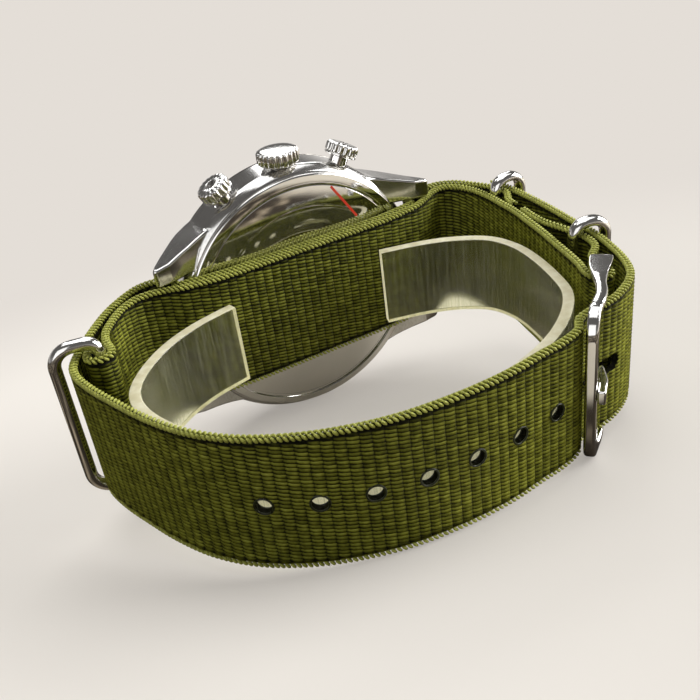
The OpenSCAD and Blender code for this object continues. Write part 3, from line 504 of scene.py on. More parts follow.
def nylon_material(strap):
    """Ribbed nylon: thread floats stacked across each rib, dark dots where two ribs' floats interlock. The
    dark dots, the darker grooves between ribs and the darker band under the plaited edge are painted shade;
    the pale float crests are painted glints.
    """
    paint = Paint("ribbed_nylon", Sheen_Weight=0.5, Sheen_Roughness=0.3, Sheen_Tint=colour_of(170, 170, 44),
                  Specular_IOR_Level=0.12)
    uv = Value(node(paint.tree, "ShaderNodeUVMap", uv_map="weave"), "UV")
    along, across, _ = uv.axes()
    along = along + (uv.noise(900, 2) - 0.5) * (0.3 * MM)
    slip = (uv.noise(330, 2) - 0.5) * (0.3 * MM)
    rib = along / strap.rib_pitch
    rib_share = rib.math("FRACT")
    odd = rib.math("FLOOR").math("MODULO", 2.0) * 0.5
    ridge = (rib_share * math.pi).math("SINE").math("MAXIMUM", 0.0).math("POWER", RIDGE_POWER)
    lean = (rib_share - 0.5) * 0.3
    row = (across + slip) / strap.float_pitch + odd + lean
    strand = (row * math.pi).math("SINE").math("ABSOLUTE")
    strand = 1.0 - (1.0 - strand).math("POWER", 0.9)
    fibre = uv.stretched(1, 9, 1).noise(2600, 2)
    tuft = uv.noise(1300, 3).spread(0.3, 0.7, 0.72, 1.2)
    cell = node(paint.tree, "ShaderNodeCombineXYZ", {"X": rib.math("FLOOR"), "Y": row.math("FLOOR")})
    chance = row.then("ShaderNodeTexWhiteNoise", {"Vector": cell.outputs[0]}, noise_dimensions="2D")
    worn = paint.place.noise(60, 2).spread(0.3, 0.7, 0.9, 1.08)
    edge = HALF_W * MM
    # Painted shade under the plaited edge: the weave is darker towards both sides of the strap
    rim = across.math("ABSOLUTE").spread(edge - strap.braid_w * 1.7, edge - strap.braid_w * 1.15, 1.0, 0.3)
    # Painted shade: the weave is darker in the grooves between ribs and in the gaps between floats; tuft,
    # chance and worn vary the tone at random
    tone_and_painted_shade = strand * (ridge * 0.6 + 0.4) + (1.0 - strand) * (ridge * 0.12)
    tone_and_painted_shade = tone_and_painted_shade * tuft * chance.spread(0, 1, 0.75, 1.2) * worn * rim
    colour = tone_and_painted_shade.spread(0.22, 1.0).mix(strap.shade, strap.thread)
    # Painted highlight: glints on the brightest float crests, in the edge colour
    painted_glint = tone_and_painted_shade.math("MAXIMUM", 0.0).math("POWER", 3.0) * fibre
    colour = (painted_glint * 0.6).mix(colour, strap.edge)
    weld = paint.attribute("weld")
    height = strand * (ridge * 0.7) + fibre * 0.16
    return paint.set(Base_Color=(weld * 0.7).mix(colour, strap.shade), Roughness=weld.spread(0, 1, 0.6, 0.35),
                     Normal=height.bump(0.2))


def cord_material(strap):
    """The corded edge: brighter, tighter thread with its own filaments."""
    paint = Paint("corded_edge", Roughness=0.5, Sheen_Weight=0.1, Sheen_Roughness=0.4, Sheen_Tint=strap.edge,
                  Specular_IOR_Level=0.35)
    filament = paint.place.noise(5200, 2)
    colour = paint.attribute("tone").spread(0, 1, 0.0, 0.45).mix(strap.edge, strap.thread)
    colour = filament.spread(0.35, 0.75, 0.0, 0.5).mix(colour, strap.shade)
    return paint.set(Base_Color=colour, Normal=filament.bump(0.05, 0.8))


def melted_material():
    """Heat-sealed rim of a punched hole: dark, hard and glossy."""
    paint = Paint("melted_rim")
    lumps = paint.place.noise(1500, 2)
    return paint.set(Base_Color=lumps.mix(colour_of(16, 20, 6), colour_of(48, 54, 20)),
                     Roughness=lumps.spread(0.2, 0.8, 0.18, 0.45), Normal=lumps.bump(0.1, 0.7))


def polished_material(name, steel, roughness, scratch=0.35):
    """Polished steel with faint hairlines and a soft uneven polish."""
    paint = Paint(name, Metallic=1.0)
    place = paint.on_watch()
    cloud = place.noise(160, 3)
    hair = place.stretched(1, 26, 1).noise(2200, 2)
    rough = cloud.spread(0.3, 0.7, roughness * 0.7, roughness * 1.35) + hair.spread(0.62, 0.8, 0.0, 0.06)
    return paint.set(Base_Color=cloud.spread(0.3, 0.7, 0.0, 0.25).mix(steel.tint, (0.6, 0.6, 0.59, 1)),
                     Roughness=rough, Normal=hair.bump(0.004, scratch))


def brushed_material(name, steel, stretch=(30, 1, 30), roughness=None, tint=None):
    """Steel brushed one way, in the watch's own axes."""
    paint = Paint(name, Metallic=1.0)
    place = paint.on_watch()
    grain = place.stretched(*stretch).noise(900, 4)
    cloud = place.noise(140, 2)
    tint = tint or steel.tint
    roughness = roughness or steel.brush
    rough = grain.spread(0.2, 0.8, roughness * 0.8, roughness * 1.25) + cloud.spread(0.3, 0.7, -0.02, 0.03)
    return paint.set(Base_Color=grain.spread(0.35, 0.7).mix(tint, dimmed(tint, 0.77)), Roughness=rough,
                     Normal=grain.bump(0.006, 0.5))


def clear_material():
    """Clear moulded plastic with handling scratches and a slight warm tint."""
    paint = Paint("clear_plastic", IOR=1.47)
    place = paint.on_watch()
    scratch = place.stretched(60, 60, 1.2).noise(90, 3)
    rough = scratch.spread(0.55, 0.8, 0.16, 0.26) + place.noise(220, 3).spread(0.4, 0.7, 0.0, 0.05)
    colour = scratch.spread(0.5, 0.75, 0.0, 0.6).mix((0.86, 0.86, 0.62, 1), (0.66, 0.66, 0.42, 1))
    return paint.set(Base_Color=colour, Roughness=rough, Normal=scratch.bump(0.02, 0.25),
                     Transmission_Weight=scratch.spread(0.45, 0.75, 1.0, 0.85))


def cut_edge_material(name, glow):
    """Sawn edge of the clear insert; glow is painted light: an emission standing for the light that the
    plastic carries to it from inside.
    """
    paint = Paint(name, Transmission_Weight=0.25, IOR=1.47, Emission_Strength=glow)
    place = paint.on_watch()
    saw = place.stretched(1, 1, 14).noise(700, 3)
    colour = place.noise(180, 3).spread(0.3, 0.7).mix(colour_of(202, 195, 162), colour_of(178, 170, 130))
    colour = saw.spread(0.4, 0.7, 0, 0.6).mix(colour, colour_of(226, 224, 202))
    return paint.set(Base_Color=colour, Emission_Color=colour, Roughness=saw.spread(0.3, 0.7, 0.36, 0.62),
                     Normal=saw.bump(0.03, 0.6))


def sapphire_material():
    paint = Paint("sapphire", Transmission_Weight=1.0, IOR=1.5)
    dust = paint.place.noise(4000, 2)
    return paint.set(Base_Color=dust.mix((0.985, 0.99, 0.99, 1), (0.965, 0.975, 0.98, 1)),
                     Roughness=dust.spread(0.7, 0.9, 0.01, 0.06))


def lacquer_material(name, colour, deep, roughness, grain=2600, depth=0.004):
    """Matt or gloss paint with a fine grain."""
    paint = Paint(name)
    fine = paint.place.noise(grain, 3)
    return paint.set(Base_Color=fine.spread(0.3, 0.75).mix(colour, deep), Normal=fine.bump(depth, 0.6),
                     Roughness=fine.spread(0.3, 0.7, roughness * 0.85, min(roughness * 1.2, 1.0)))


def striped_material():
    """Bridges with straight polished stripes across them."""
    paint = Paint("striped_nickel", Metallic=1.0)
    place = paint.on_watch()
    x, _, z = place.axes()
    stripe = ((x + z) / (1.6 * MM)).math("FRACT")
    rough = place.stretched(1, 40, 40).noise(900, 3).spread(0.3, 0.7, 0.18, 0.32)
    return paint.set(Base_Color=stripe.mix((0.62, 0.6, 0.56, 1), (0.8, 0.78, 0.73, 1)), Roughness=rough,
                     Normal=stripe.bump(0.02, 0.4))


def gilt_material():
    """Gilt brass wheels and plate, with a pearled grain."""
    paint = Paint("gilt_brass", Metallic=1.0)
    place = paint.on_watch()
    pearl = place.then("ShaderNodeTexVoronoi", {"Vector": place, "Scale": 900.0}, "Distance")
    return paint.set(Base_Color=pearl.mix((0.78, 0.58, 0.27, 1), (0.9, 0.72, 0.42, 1)),
                     Roughness=pearl.spread(0, 1, 0.2, 0.36), Normal=pearl.bump(0.01, 0.4))


def blued_material():
    paint = Paint("heat_blued_steel", Metallic=1.0)
    heat = paint.place.noise(500, 2)
    return paint.set(Base_Color=heat.mix((0.03, 0.06, 0.32, 1), (0.1, 0.08, 0.4, 1)),
                     Roughness=heat.spread(0.3, 0.7, 0.12, 0.22))


# Pale places on the floor that steel mirrors: middle in the watch's axes, inner and outer radius, in mm.
# The buckle's bar mirrors the first one and the foot of the case the second one.
PALE_SPOTS = (((-5.0, -64.0, -7.5), 11.0, 15.0), ((0.0, -14.0, -17.7), 20.0, 28.0))
# The floor's tones as shares of the paper's colour, as painted light: two on its lit side, painted lighter,
# then two on the other side, painted darker
PAPER_PAINTED_LIGHT_SHARES = (1.1, 1.07, 0.8, 0.78)
LEAST_EVEN = 0.4


def backdrop_material(stage):
    """Pale paper to the camera, fading far off to one even colour; a dull brown to the light on the watch."""
    paint = Paint("pale_backdrop", Roughness=0.75, Specular_IOR_Level=0.15)
    place = paint.place
    rays = node(paint.tree, "ShaderNodeLightPath")
    seen = Value(rays, "Is Camera Ray")
    shown = seen.math("MAXIMUM", Value(rays, "Is Transmission Ray"))
    cloud = place.noise(6, 2)
    side = place.vector("DOT_PRODUCT", (0.9, -0.3, 0.0))
    tones = [dimmed(stage.paper, share) for share in PAPER_PAINTED_LIGHT_SHARES]
    # Painted light on the paper: lighter on one side, darker on the other
    paper = side.spread(-0.04, 0.06, curve="SMOOTHSTEP").mix(cloud.mix(*tones[:2]), cloud.mix(*tones[2:]))
    dull = place.noise(42, 4).spread(0.5, 0.66).mix((0.04, 0.03, 0.02, 1), (0.46, 0.38, 0.27, 1))
    pale = side.spread(0.09, 0.13, curve="SMOOTHSTEP")
    for middle, inner, outer in PALE_SPOTS:
        away = place.vector("DISTANCE", tuple(at_watch(*middle)))
        pale = pale.math("MAXIMUM", away.spread(inner * MM, outer * MM, 1.0, 0.0, "SMOOTHSTEP"))
    paint.set(Base_Color=shown.mix(pale.mix(dull, (0.66, 0.6, 0.5, 1)), paper))
    far = place.vector("LENGTH").spread(stage.near, stage.far, curve="SMOOTHSTEP")
    share = (far * seen).math("MAXIMUM", seen * LEAST_EVEN)
    even = node(paint.tree, "ShaderNodeEmission", {"Color": tuple(stage.ground)})
    blend = node(paint.tree, "ShaderNodeMixShader",
                 {0: share, 1: paint.shader.outputs[0], 2: even.outputs[0]})
    plug(paint.tree.nodes["Material Output"].inputs["Surface"], blend.outputs[0])
    return paint.material


MAKERS = {
    "nylon": lambda scene: nylon_material(scene.watch_strap),
    "cord": lambda scene: cord_material(scene.watch_strap),
    "melted": lambda scene: melted_material(),
    "polished": lambda scene: polished_material("polished_steel", scene.watch_steel,
                                                scene.watch_steel.polish),
    "mirror": lambda scene: polished_material("mirror_steel", scene.watch_steel,
                                              scene.watch_steel.polish * 0.6, 0.2),
    "case": lambda scene: brushed_material("case_steel", scene.watch_steel, (2, 24, 2), 0.13),
    # Painted shade: near-black steel for the dimples on the pushers' tops
    "dimple": lambda scene: brushed_material("dimple_steel", scene.watch_steel, (8, 8, 8), 0.4,
                                             (0.16, 0.15, 0.14, 1)),
    "satin": lambda scene: brushed_material("satin_steel", scene.watch_steel, (8, 8, 8), 0.3),
    "clear": lambda scene: clear_material(),
    # The sawn edges glow with painted light; the lower edges and the ends glow most
    "sawn": lambda scene: cut_edge_material("sawn_clear_edge", 0.14),
    "sawn_low": lambda scene: cut_edge_material("sawn_low_edge", 0.8),
    "sapphire": lambda scene: sapphire_material(),
    "dial": lambda scene: lacquer_material("dial_lacquer", tuple(scene.watch_dial.ground),
                                           colour_of(14, 14, 16), 0.55),
    "lume": lambda scene: lacquer_material("luminous_paint", tuple(scene.watch_dial.lume),
                                           colour_of(206, 196, 158), 0.6, 4200, 0.02),
    "red": lambda scene: lacquer_material("hand_red", colour_of(214, 60, 32), colour_of(190, 44, 24), 0.3),
    "white": lambda scene: lacquer_material("printed_white", colour_of(220, 219, 212),
                                            colour_of(200, 198, 190), 0.5),
    "rubber": lambda scene: lacquer_material("seal_rubber", colour_of(30, 30, 30), colour_of(16, 16, 16), 0.7,
                                             1800, 0.01),
    "striped": lambda scene: striped_material(),
    "gilt": lambda scene: gilt_material(),
    "blued": lambda scene: blued_material(),
}
MATERIALS = {}


def finish(name):
    """The material of that name, made once."""
    if name not in MATERIALS:
        MATERIALS[name] = MAKERS[name](bpy.context.scene)
    return MATERIALS[name]


# Meshes

# Corners closer together than this, in metres, are one corner
SAME_PLACE = 1e-7


def placed(name, data):
    """New object of some data, in the scene."""
    made = bpy.data.objects.new(name, data)
    bpy.context.scene.collection.objects.link(made)
    return made


def piece(name, mesh, body, materials, stands_for=()):
    """Puts a finished mesh in the scene, riding on a body."""
    mesh.materials.clear()
    for material in materials:
        mesh.materials.append(finish(material))
    made = placed(name, mesh)
    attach(made, body)
    if stands_for:
        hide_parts(*stands_for)
    return made


def baked(shape, name):
    """Mesh of a bmesh, which is used up."""
    mesh = bpy.data.meshes.new(name)
    shape.to_mesh(mesh)
    shape.free()
    return mesh


def settled_mesh(work, name):
    """Plain mesh of an object with its modifiers carried out; the object is removed."""
    bpy.context.view_layer.update()
    result = bpy.data.meshes.new_from_object(work.evaluated_get(bpy.context.evaluated_depsgraph_get()))
    result.name = name
    bpy.data.objects.remove(work)
    return result


def mesh_from(name, build, transform=None, smooth=True):
    """Mesh filled by a function that gets an empty bmesh, with its faces outwards."""
    shape = bmesh.new()
    build(shape)
    bmesh.ops.remove_doubles(shape, verts=shape.verts, dist=SAME_PLACE)
    bmesh.ops.recalc_face_normals(shape, faces=shape.faces)
    for face in shape.faces:
        face.smooth = smooth
    if transform is not None:
        bmesh.ops.transform(shape, matrix=transform, verts=shape.verts)
    return baked(shape, name)


def mark_sharp(mesh, degrees):
    """Smooth shading with creases where two faces meet at more than an angle."""
    mesh.shade_smooth()
    shape = bmesh.new()
    shape.from_mesh(mesh)
    for edge in shape.edges:
        edge.smooth = not (len(edge.link_faces) == 2 and edge.calc_face_angle(0) > math.radians(degrees))
    shape.to_mesh(mesh)
    shape.free()
    return mesh


def weighted(mesh, name):
    """Mesh whose shading follows its large faces."""
    work = placed(name + "_work", mesh)
    work.modifiers.new("weighting", "WEIGHTED_NORMAL").keep_sharp = True
    return settled_mesh(work, name)


def softened(points, radius, closed=True):
    """Outline with each corner rounded in three steps by at most a radius; points are 2D."""
    points = [Vector(p) for p in points]
    count = len(points)
    rounded = []
    for i, corner in enumerate(points):
        if not closed and i in (0, count - 1):
            rounded.append(corner)
            continue
        before, after = points[i - 1] - corner, points[(i + 1) % count] - corner
        reach = min(radius, before.length * 0.45, after.length * 0.45)
        a, b = corner + before.normalized() * reach, corner + after.normalized() * reach
        for k in range(4):
            t = k / 3
            rounded.append(a * (1 - t) ** 2 + corner * 2 * t * (1 - t) + b * t * t)
    return rounded


def skin(shape, rings, closed=False, step=1):
    """Faces from each ring of corners to the next; a ring of one corner is a point. Open ends get a face,
    whose corners run the ring's way where step is 1, and against it where step is -1."""
    count = max(len(ring) for ring in rings)
    for a, b in zip(rings, rings[1:] + rings[:closed]):
        for i in range(count):
            j = (i + 1) % count
            corners = dict.fromkeys((a[i % len(a)], a[j % len(a)], b[j % len(b)], b[i % len(b)]))
            if len(corners) > 2:
                shape.faces.new(tuple(corners))
    if not closed and len(rings[0]) > 1:
        shape.faces.new(rings[0][::step])
        shape.faces.new(rings[-1][::-step])


def lathe(shape, outline, segments, wave=None):
    """Turns an outline of (radius, height) points in millimetres round the y axis. It is closed unless it
    starts and ends on the axis. wave gives changes of radius and height for an angle and a point."""
    rings = []
    for k, (r, h) in enumerate(outline):
        ring = []
        for i in range(segments if r > 1e-6 else 1):
            a = 2 * math.pi * i / segments
            out, up = wave(a, k) if wave and r > 1e-6 else (0.0, 0.0)
            ring.append(shape.verts.new(((r + out) * math.cos(a) * MM, (h + up) * MM,
                                         (r + out) * math.sin(a) * MM)))
        rings.append(ring)
    skin(shape, rings, closed=len(rings[0]) > 1)


def tube(shape, centres, frames, section, closed=False):
    """Sweeps a section of (side, out) points along centres; a frame is the pair of those two ways."""
    rings = [[shape.verts.new(centre + side * a + out * b) for a, b in section]
             for centre, (side, out) in zip(centres, frames)]
    skin(shape, rings, closed)
    return rings


def turned_piece(name, cad_node, outline, crease, segments=256, place=WATCH, body="case",
                 materials=("mirror",), wave=None):
    """Piece turned on a lathe, which stands for a CAD node."""
    mesh = mesh_from(name, lambda shape: lathe(shape, outline, segments, wave), place)
    return piece(name, mark_sharp(mesh, crease), body, materials, (cad_node,))


def dressed_copy(name, cad_node, bevel, body, material, merge=0.002):
    """Copy of a CAD node with its edges rounded and its shading smoothed; it stands for the node.

    Corners closer together than merge (mm) become one, so that a wide rounding doesn't cross itself.
    """
    shape = bmesh.new()
    shape.from_mesh(frame["nodes"][cad_node].data)
    bmesh.ops.remove_doubles(shape, verts=shape.verts, dist=merge * MM)
    bmesh.ops.dissolve_limit(shape, angle_limit=math.radians(0.6), verts=shape.verts, edges=shape.edges)
    weights = shape.edges.layers.float.new("bevel_weight_edge")
    for edge in shape.edges:
        if edge.is_convex and edge.calc_face_angle(0.0) > math.radians(24):
            edge[weights] = 1.0
    work = placed(name + "_work", baked(shape, name))
    rounding = work.modifiers.new("rounding", "BEVEL")
    rounding.width = bevel * MM
    rounding.segments = 3
    rounding.limit_method = "WEIGHT"
    rounding.use_clamp_overlap = merge < 0.1
    rounding.miter_outer = "MITER_ARC"
    mesh = weighted(mark_sharp(settled_mesh(work, name), 40), name)
    return piece(name, mesh, body, [material], (cad_node,))


# Geometry Nodes: a template repeated along a path


def repeat_tree():
    """Tree that sets a template along the edges of a path mesh and gives it a material."""
    tree = bpy.data.node_groups.new("repeat_along_path", "GeometryNodeTree")
    for name, kind in (("Path", "Geometry"), ("Template", "Object"), ("Pitch", "Float"), ("Across", "Vector"),
                       ("Material", "Material")):
        tree.interface.new_socket(name, in_out="INPUT", socket_type="NodeSocket" + kind)
    tree.interface.new_socket("Repeats", in_out="OUTPUT", socket_type="NodeSocketGeometry")

    def step(kind, inputs, output=0, **settings):
        return node(tree, kind, inputs, **settings).outputs[output]

    given = tree.nodes.new("NodeGroupInput").outputs
    line = step("GeometryNodeMeshToCurve", {"Mesh": given["Path"]})
    places = node(tree, "GeometryNodeCurveToPoints", {"Curve": line, "Length": given["Pitch"]},
                  mode="LENGTH").outputs
    along = step("FunctionNodeAlignRotationToVector", {"Vector": places["Tangent"]}, axis="X")
    upright = step("FunctionNodeAlignRotationToVector", {"Rotation": along, "Vector": given["Across"]},
                   axis="Z", pivot_axis="X")
    template = step("GeometryNodeObjectInfo", {"Object": given["Template"]}, "Geometry")
    repeats = step("GeometryNodeInstanceOnPoints",
                   {"Points": places["Points"], "Instance": template, "Rotation": upright})
    chance = step("FunctionNodeRandomValue", {"Seed": 7}, 1, data_type="FLOAT")
    tone = step("GeometryNodeStoreNamedAttribute", {"Geometry": repeats, "Name": "tone", "Value": chance},
                data_type="FLOAT", domain="INSTANCE")
    real = step("GeometryNodeRealizeInstances", {"Geometry": tone})
    painted = step("GeometryNodeSetMaterial", {"Geometry": real, "Material": given["Material"]})
    node(tree, "NodeGroupOutput", {"Repeats": painted})
    return tree


def repeated(name, lines, template, pitch, across, material, closed=False):
    """Mesh of a template repeated along lines of points in the scene."""
    tree = bpy.data.node_groups.get("repeat_along_path") or repeat_tree()
    points, edges = [], []
    for line in lines:
        first = len(points)
        points += [tuple(p) for p in line]
        edges += [(first + i, first + i + 1) for i in range(len(line) - 1)]
        if closed:
            edges.append((first + len(line) - 1, first))
    path = bpy.data.meshes.new(name + "_path")
    path.from_pydata(points, edges, [])
    work, source = placed(name + "_path", path), placed(name + "_template", template)
    modifier = work.modifiers.new("repeat", "NODES")
    modifier.node_group = tree
    values = {"Template": source, "Pitch": pitch, "Across": tuple(across), "Material": finish(material)}
    for item in tree.interface.items_tree:
        if item.name in values:
            modifier[item.identifier] = values[item.name]
    mesh = settled_mesh(work, name)
    bpy.data.objects.remove(source)
    return mesh


# Strap, in millimetres: where the layers are welded, and the shape of welds, edges and hole rims

TIP_WELD = 3.0
RING_WELD = 14.5
KEEPER_WELD = 9.0
WELD_HALF = 1.3
WELD_DEPTH = 0.12
CORE_INSET = 0.45
EDGE_STEP = 0.4
RIM_OUT = 0.06
RIM_IN = 0.1
TANG_GAP = TANG_W + 0.6
PLUG_DEPTH = 3.4
# Where the plaited edge's middle lies, as a share of its width from the strap's side
EDGE_INSET = 0.46


def rib_height(share):
    return max(math.sin(math.pi * share), 0.0) ** RIDGE_POWER


def woven_mesh(name, route, strap, welds):
    """Closed mesh of a woven strap, its ribs and thread floats in relief. Its UV is length and width."""
    rib_count = round(route.length / (strap.rib_pitch / MM))
    pitch = route.length / rib_count
    relief, float_relief = strap.rib_relief / MM, strap.float_relief / MM
    float_pitch = strap.float_pitch / MM
    floats = int((HALF_W - strap.braid_w / MM * 0.8) / (float_pitch / 2))
    widths = [i * float_pitch / 2 for i in range(-floats, floats + 1)]
    edge = HALF_W - CORE_INSET
    rows = [((rib + share) * pitch, rib, share) for rib in range(rib_count) for share in (0.0, 0.2, 0.5, 0.8)]
    rows.append((route.length, rib_count - 1, 1.0))
    shape = bmesh.new()
    uv_layer = shape.loops.layers.uv.new("weave")
    weld_layer = shape.verts.layers.float.new("weld")
    rings, lengths_widths = [], {}
    for s, rib, share in rows:
        place, heading = route.at(s)
        weld = float(any(abs(s - at) < WELD_HALF for at in welds))
        profile = []
        for side in (1, -1):
            face = []
            for z in widths:
                phase = z / float_pitch + 0.5 + 0.5 * ((rib + (side < 0)) % 2)
                crest = 0.5 + 0.5 * math.cos(2 * math.pi * phase)
                drop = relief * (1 - rib_height(share)) + float_relief * (1 - crest) * rib_height(share)
                face.append((z, side * (HALF_T - drop - WELD_DEPTH * weld)))
            outer = [(edge - 0.2, side * 0.32), (edge, side * 0.16)]
            face = [(-z, t) for z, t in outer[::-1]] + face + outer
            profile += face[::side]
        ring = []
        for z, t in profile:
            ring.append(shape.verts.new(over_plan(place + left_of(heading) * t, z)))
            ring[-1][weld_layer] = weld
            lengths_widths[ring[-1]] = (s * MM, z * MM)
        rings.append(ring)
    skin(shape, rings)
    for face in shape.faces:
        face.smooth = len(face.verts) == 4
        for loop in face.loops:
            loop[uv_layer].uv = lengths_widths[loop.vert]
    bmesh.ops.recalc_face_normals(shape, faces=shape.faces)
    return baked(shape, name)


def stadium(shape, centre, along, across, through, length, width, depth=PLUG_DEPTH, segments=28):
    """Adds a closed plug: a slot's outline, or a circle where its length is its width."""
    outline = [(width / 2 * c + (length - width) / 2 * (1 if c > 0 else -1), width / 2 * s)
               for c, s in turns(segments, 0.5)]
    skin(shape, [[shape.verts.new(centre + along * (u * MM) + across * (v * MM) + through * (t * MM))
                  for u, v in outline] for t in (-depth / 2, depth / 2)], step=-1)


def cut(mesh, name, build):
    """Mesh with the closed plugs of another taken out."""
    tool = placed(name + "_plugs", mesh_from(name + "_plugs", build, smooth=False))
    work = placed(name + "_work", mesh)
    cutter = work.modifiers.new("holes", "BOOLEAN")
    cutter.operation = "DIFFERENCE"
    cutter.solver = "MANIFOLD"
    cutter.object = tool
    result = settled_mesh(work, name)
    bpy.data.objects.remove(tool)
    return result


def hole_places():
    """Reach along the long strap and length of the tang's slot and of each punched hole."""
    return [(TANG_REACH, TANG_SLOT)] + [
        (TANG_REACH - FIRST_HOLE - k * HOLE_PITCH, 2 * HOLE_R) for k in range(HOLE_COUNT)]


def hole_plugs(shape):
    for reach, length in hole_places():
        place, heading = LONG.at(reach)
        width = TANG_GAP if length == TANG_SLOT else length
        stadium(shape, over_plan(place, 0), plan_way(heading), CROWN_WAY, plan_way(left_of(heading)), length,
                width)


def tang_gap(shape):
    across = 2 * (PIN_LOOP_R + HALF_T + 0.5)
    stadium(shape, over_plan(BUCKLE_AT, 0), NOON_WAY, DIAL_WAY, CROWN_WAY, across, across, TANG_GAP, 40)


def hole_rims(shape):
    """Rings of melted nylon round both ends of each punched hole."""
    section = [(0.14 * c * MM, 0.12 * s * MM) for c, s in turns(8)]
    outs = [Vector((c, s, 0)) for c, s in turns(28)]
    centres = [out * (HOLE_R + RIM_OUT) * MM for out in outs]
    frames = [(out, Vector((0, 0, 1))) for out in outs]
    for reach, _ in hole_places()[1:]:
        place, heading = LONG.at(reach)
        for side in (-1, 1):
            way = plan_way(left_of(heading)) * side
            centre = over_plan(place, 0) + way * (HALF_T - RIM_IN) * MM
            seat = axes_at(plan_way(heading), CROWN_WAY, way, centre)
            rings = tube(shape, centres, frames, section, closed=True)
            bmesh.ops.transform(shape, matrix=seat, verts=[vert for ring in rings for vert in ring])


def edge_lines(route, inset):
    """The two edge lines of a strap."""
    places = [place for place, _ in route.walk(int(route.length / EDGE_STEP))]
    return [[over_plan(place, side * (HALF_W - inset)) for place in places] for side in (-1, 1)]


def stitch_template(strap):
    """One turn of the plaited edge: a bead leaning on each face and a thinner one across the crest."""
    pitch, high = strap.braid_pitch, strap.braid_w
    # Size and place (shares of the pitch, mm, shares of the width), then the turns round y and z in degrees
    beads = (
        ((0.33, 0.27, 0.52), (0.0, -0.33, -0.08), -45, 0),
        ((0.33, 0.27, 0.52), (0.5, 0.33, -0.08), 45, 0),
        ((0.26, 0.42, 0.2), (0.25, 0.0, 0.32), 0, 30),
    )

    def build(shape):
        for size, place, lean, cross in beads:
            made = bmesh.ops.create_uvsphere(shape, u_segments=7, v_segments=5, radius=1.0)["verts"]
            bmesh.ops.scale(shape, vec=(pitch * size[0], size[1] * MM, high * size[2]), verts=made)
            turn = Matrix.Rotation(math.radians(lean), 4, "Y") @ Matrix.Rotation(math.radians(cross), 4, "Z")
            shift = Matrix.Translation((place[0] * pitch, place[1] * MM, place[2] * high))
            bmesh.ops.transform(shape, matrix=shift @ turn, verts=made)
    return mesh_from("stitch", build)


class WATCH_OT_strap(bpy.types.Operator):
    """Weave both straps, with their holes, corded edges and sealed rims"""

    bl_idname = "watch.strap"
    bl_label = "Strap"

    def execute(self, context):
        strap = context.scene.watch_strap
        for name, cad_node, route, welds, plugs in (
                ("long_strap_weave", "long_strap", LONG, (LONG.length - TIP_WELD,), hole_plugs),
                ("under_strap_weave", "under_strap", UNDER, (UNDER.length - KEEPER_WELD, RING_WELD),
                 tang_gap)):
            mesh = cut(woven_mesh(name, route, strap, welds), name, plugs)
            piece(name, mesh, "case", ["nylon"], (cad_node,))
        inset = strap.braid_w / MM * EDGE_INSET
        for name, route in (("long_strap_edges", LONG), ("under_strap_edges", UNDER)):
            mesh = repeated(name, edge_lines(route, inset), stitch_template(strap), strap.braid_pitch,
                            CROWN_WAY, "cord")
            piece(name, mesh, "case", ["cord"])
        piece("sealed_hole_rims", mesh_from("sealed_hole_rims", hole_rims), "case", ["melted"])
        return {"FINISHED"}


# Steel loops and buckle

TANG_ROUNDING = 0.3


def wire_mesh(name, start, end, r, half, bend, breadth, far_bend):
    """Half-round wire bent to a rectangular loop between two places in the plan; breadth is its width by its
    height, and far_bend the radius of the two corners at the end."""
    way = (end - start).normalized()
    middle, reach = (start + end) / 2, (end - start).length / 2
    section = [(r * breadth * side * MM, r * (out if out > 0 else 0.75 * out) * MM)
               for out, side in turns(20)]
    through = plan_way(left_of(way))
    centres, frames = [], []
    far, near = (reach - far_bend, half - far_bend), (reach - bend, half - bend)
    for u, z, first, r_bend in ((far[0], far[1], 0, far_bend), (-near[0], near[1], 90, bend),
                                (-near[0], -near[1], 180, bend), (far[0], -far[1], 270, far_bend)):
        for k in range(13):
            a = math.radians(first + 90 * k / 12)
            c, s = math.cos(a), math.sin(a)
            centres.append(over_plan(middle + way * (u + r_bend * c), z + r_bend * s))
            frames.append((through, plan_way(way) * c + CROWN_WAY * s))
    return mesh_from(name, lambda shape: tube(shape, centres, frames, section, closed=True))


class WATCH_OT_loops(bpy.types.Operator):
    """Make the ring and the two keepers"""

    bl_idname = "watch.loops"
    bl_label = "Ring and keepers"

    def execute(self, context):
        ring = (RING_R, HALF_W + 0.5 + RING_R, RING_R + 0.7, 0.99, 2.7)
        keeper = (KEEPER_R, HALF_W + 0.65 + KEEPER_R, KEEPER_R + 1.3, 1.3, KEEPER_R + 1.3)
        upper_end = UPPER_KEEPER_AT + Vector((KEEPER_SPAN, 0))
        lower_end = LOWER_KEEPER_AT + polar(KEEPER_SPAN, LOWER_TURN)
        for name, body, cad_node, start, end, shape in (
                ("ring_wire", "ring", "strap_ring", RING_IN, RING_OUT, ring),
                ("upper_keeper_wire", "case", "upper_keeper", UPPER_KEEPER_AT, upper_end, keeper),
                ("lower_keeper_wire", "case", "lower_keeper", LOWER_KEEPER_AT, lower_end, keeper)):
            mesh = wire_mesh(name, start, end, *shape)
            piece(name, mesh, body, ["polished"], (cad_node,))
        return {"FINISHED"}


def height_at(curve, u):
    """Height at u of a curve whose points run on in u."""
    for a, b in zip(curve.points, curve.points[1:]):
        if a.x <= u <= b.x:
            return a.y + (b.y - a.y) * (u - a.x) / max(b.x - a.x, 1e-9)
    return curve.points[0].y if u < curve.points[0].x else curve.points[-1].y


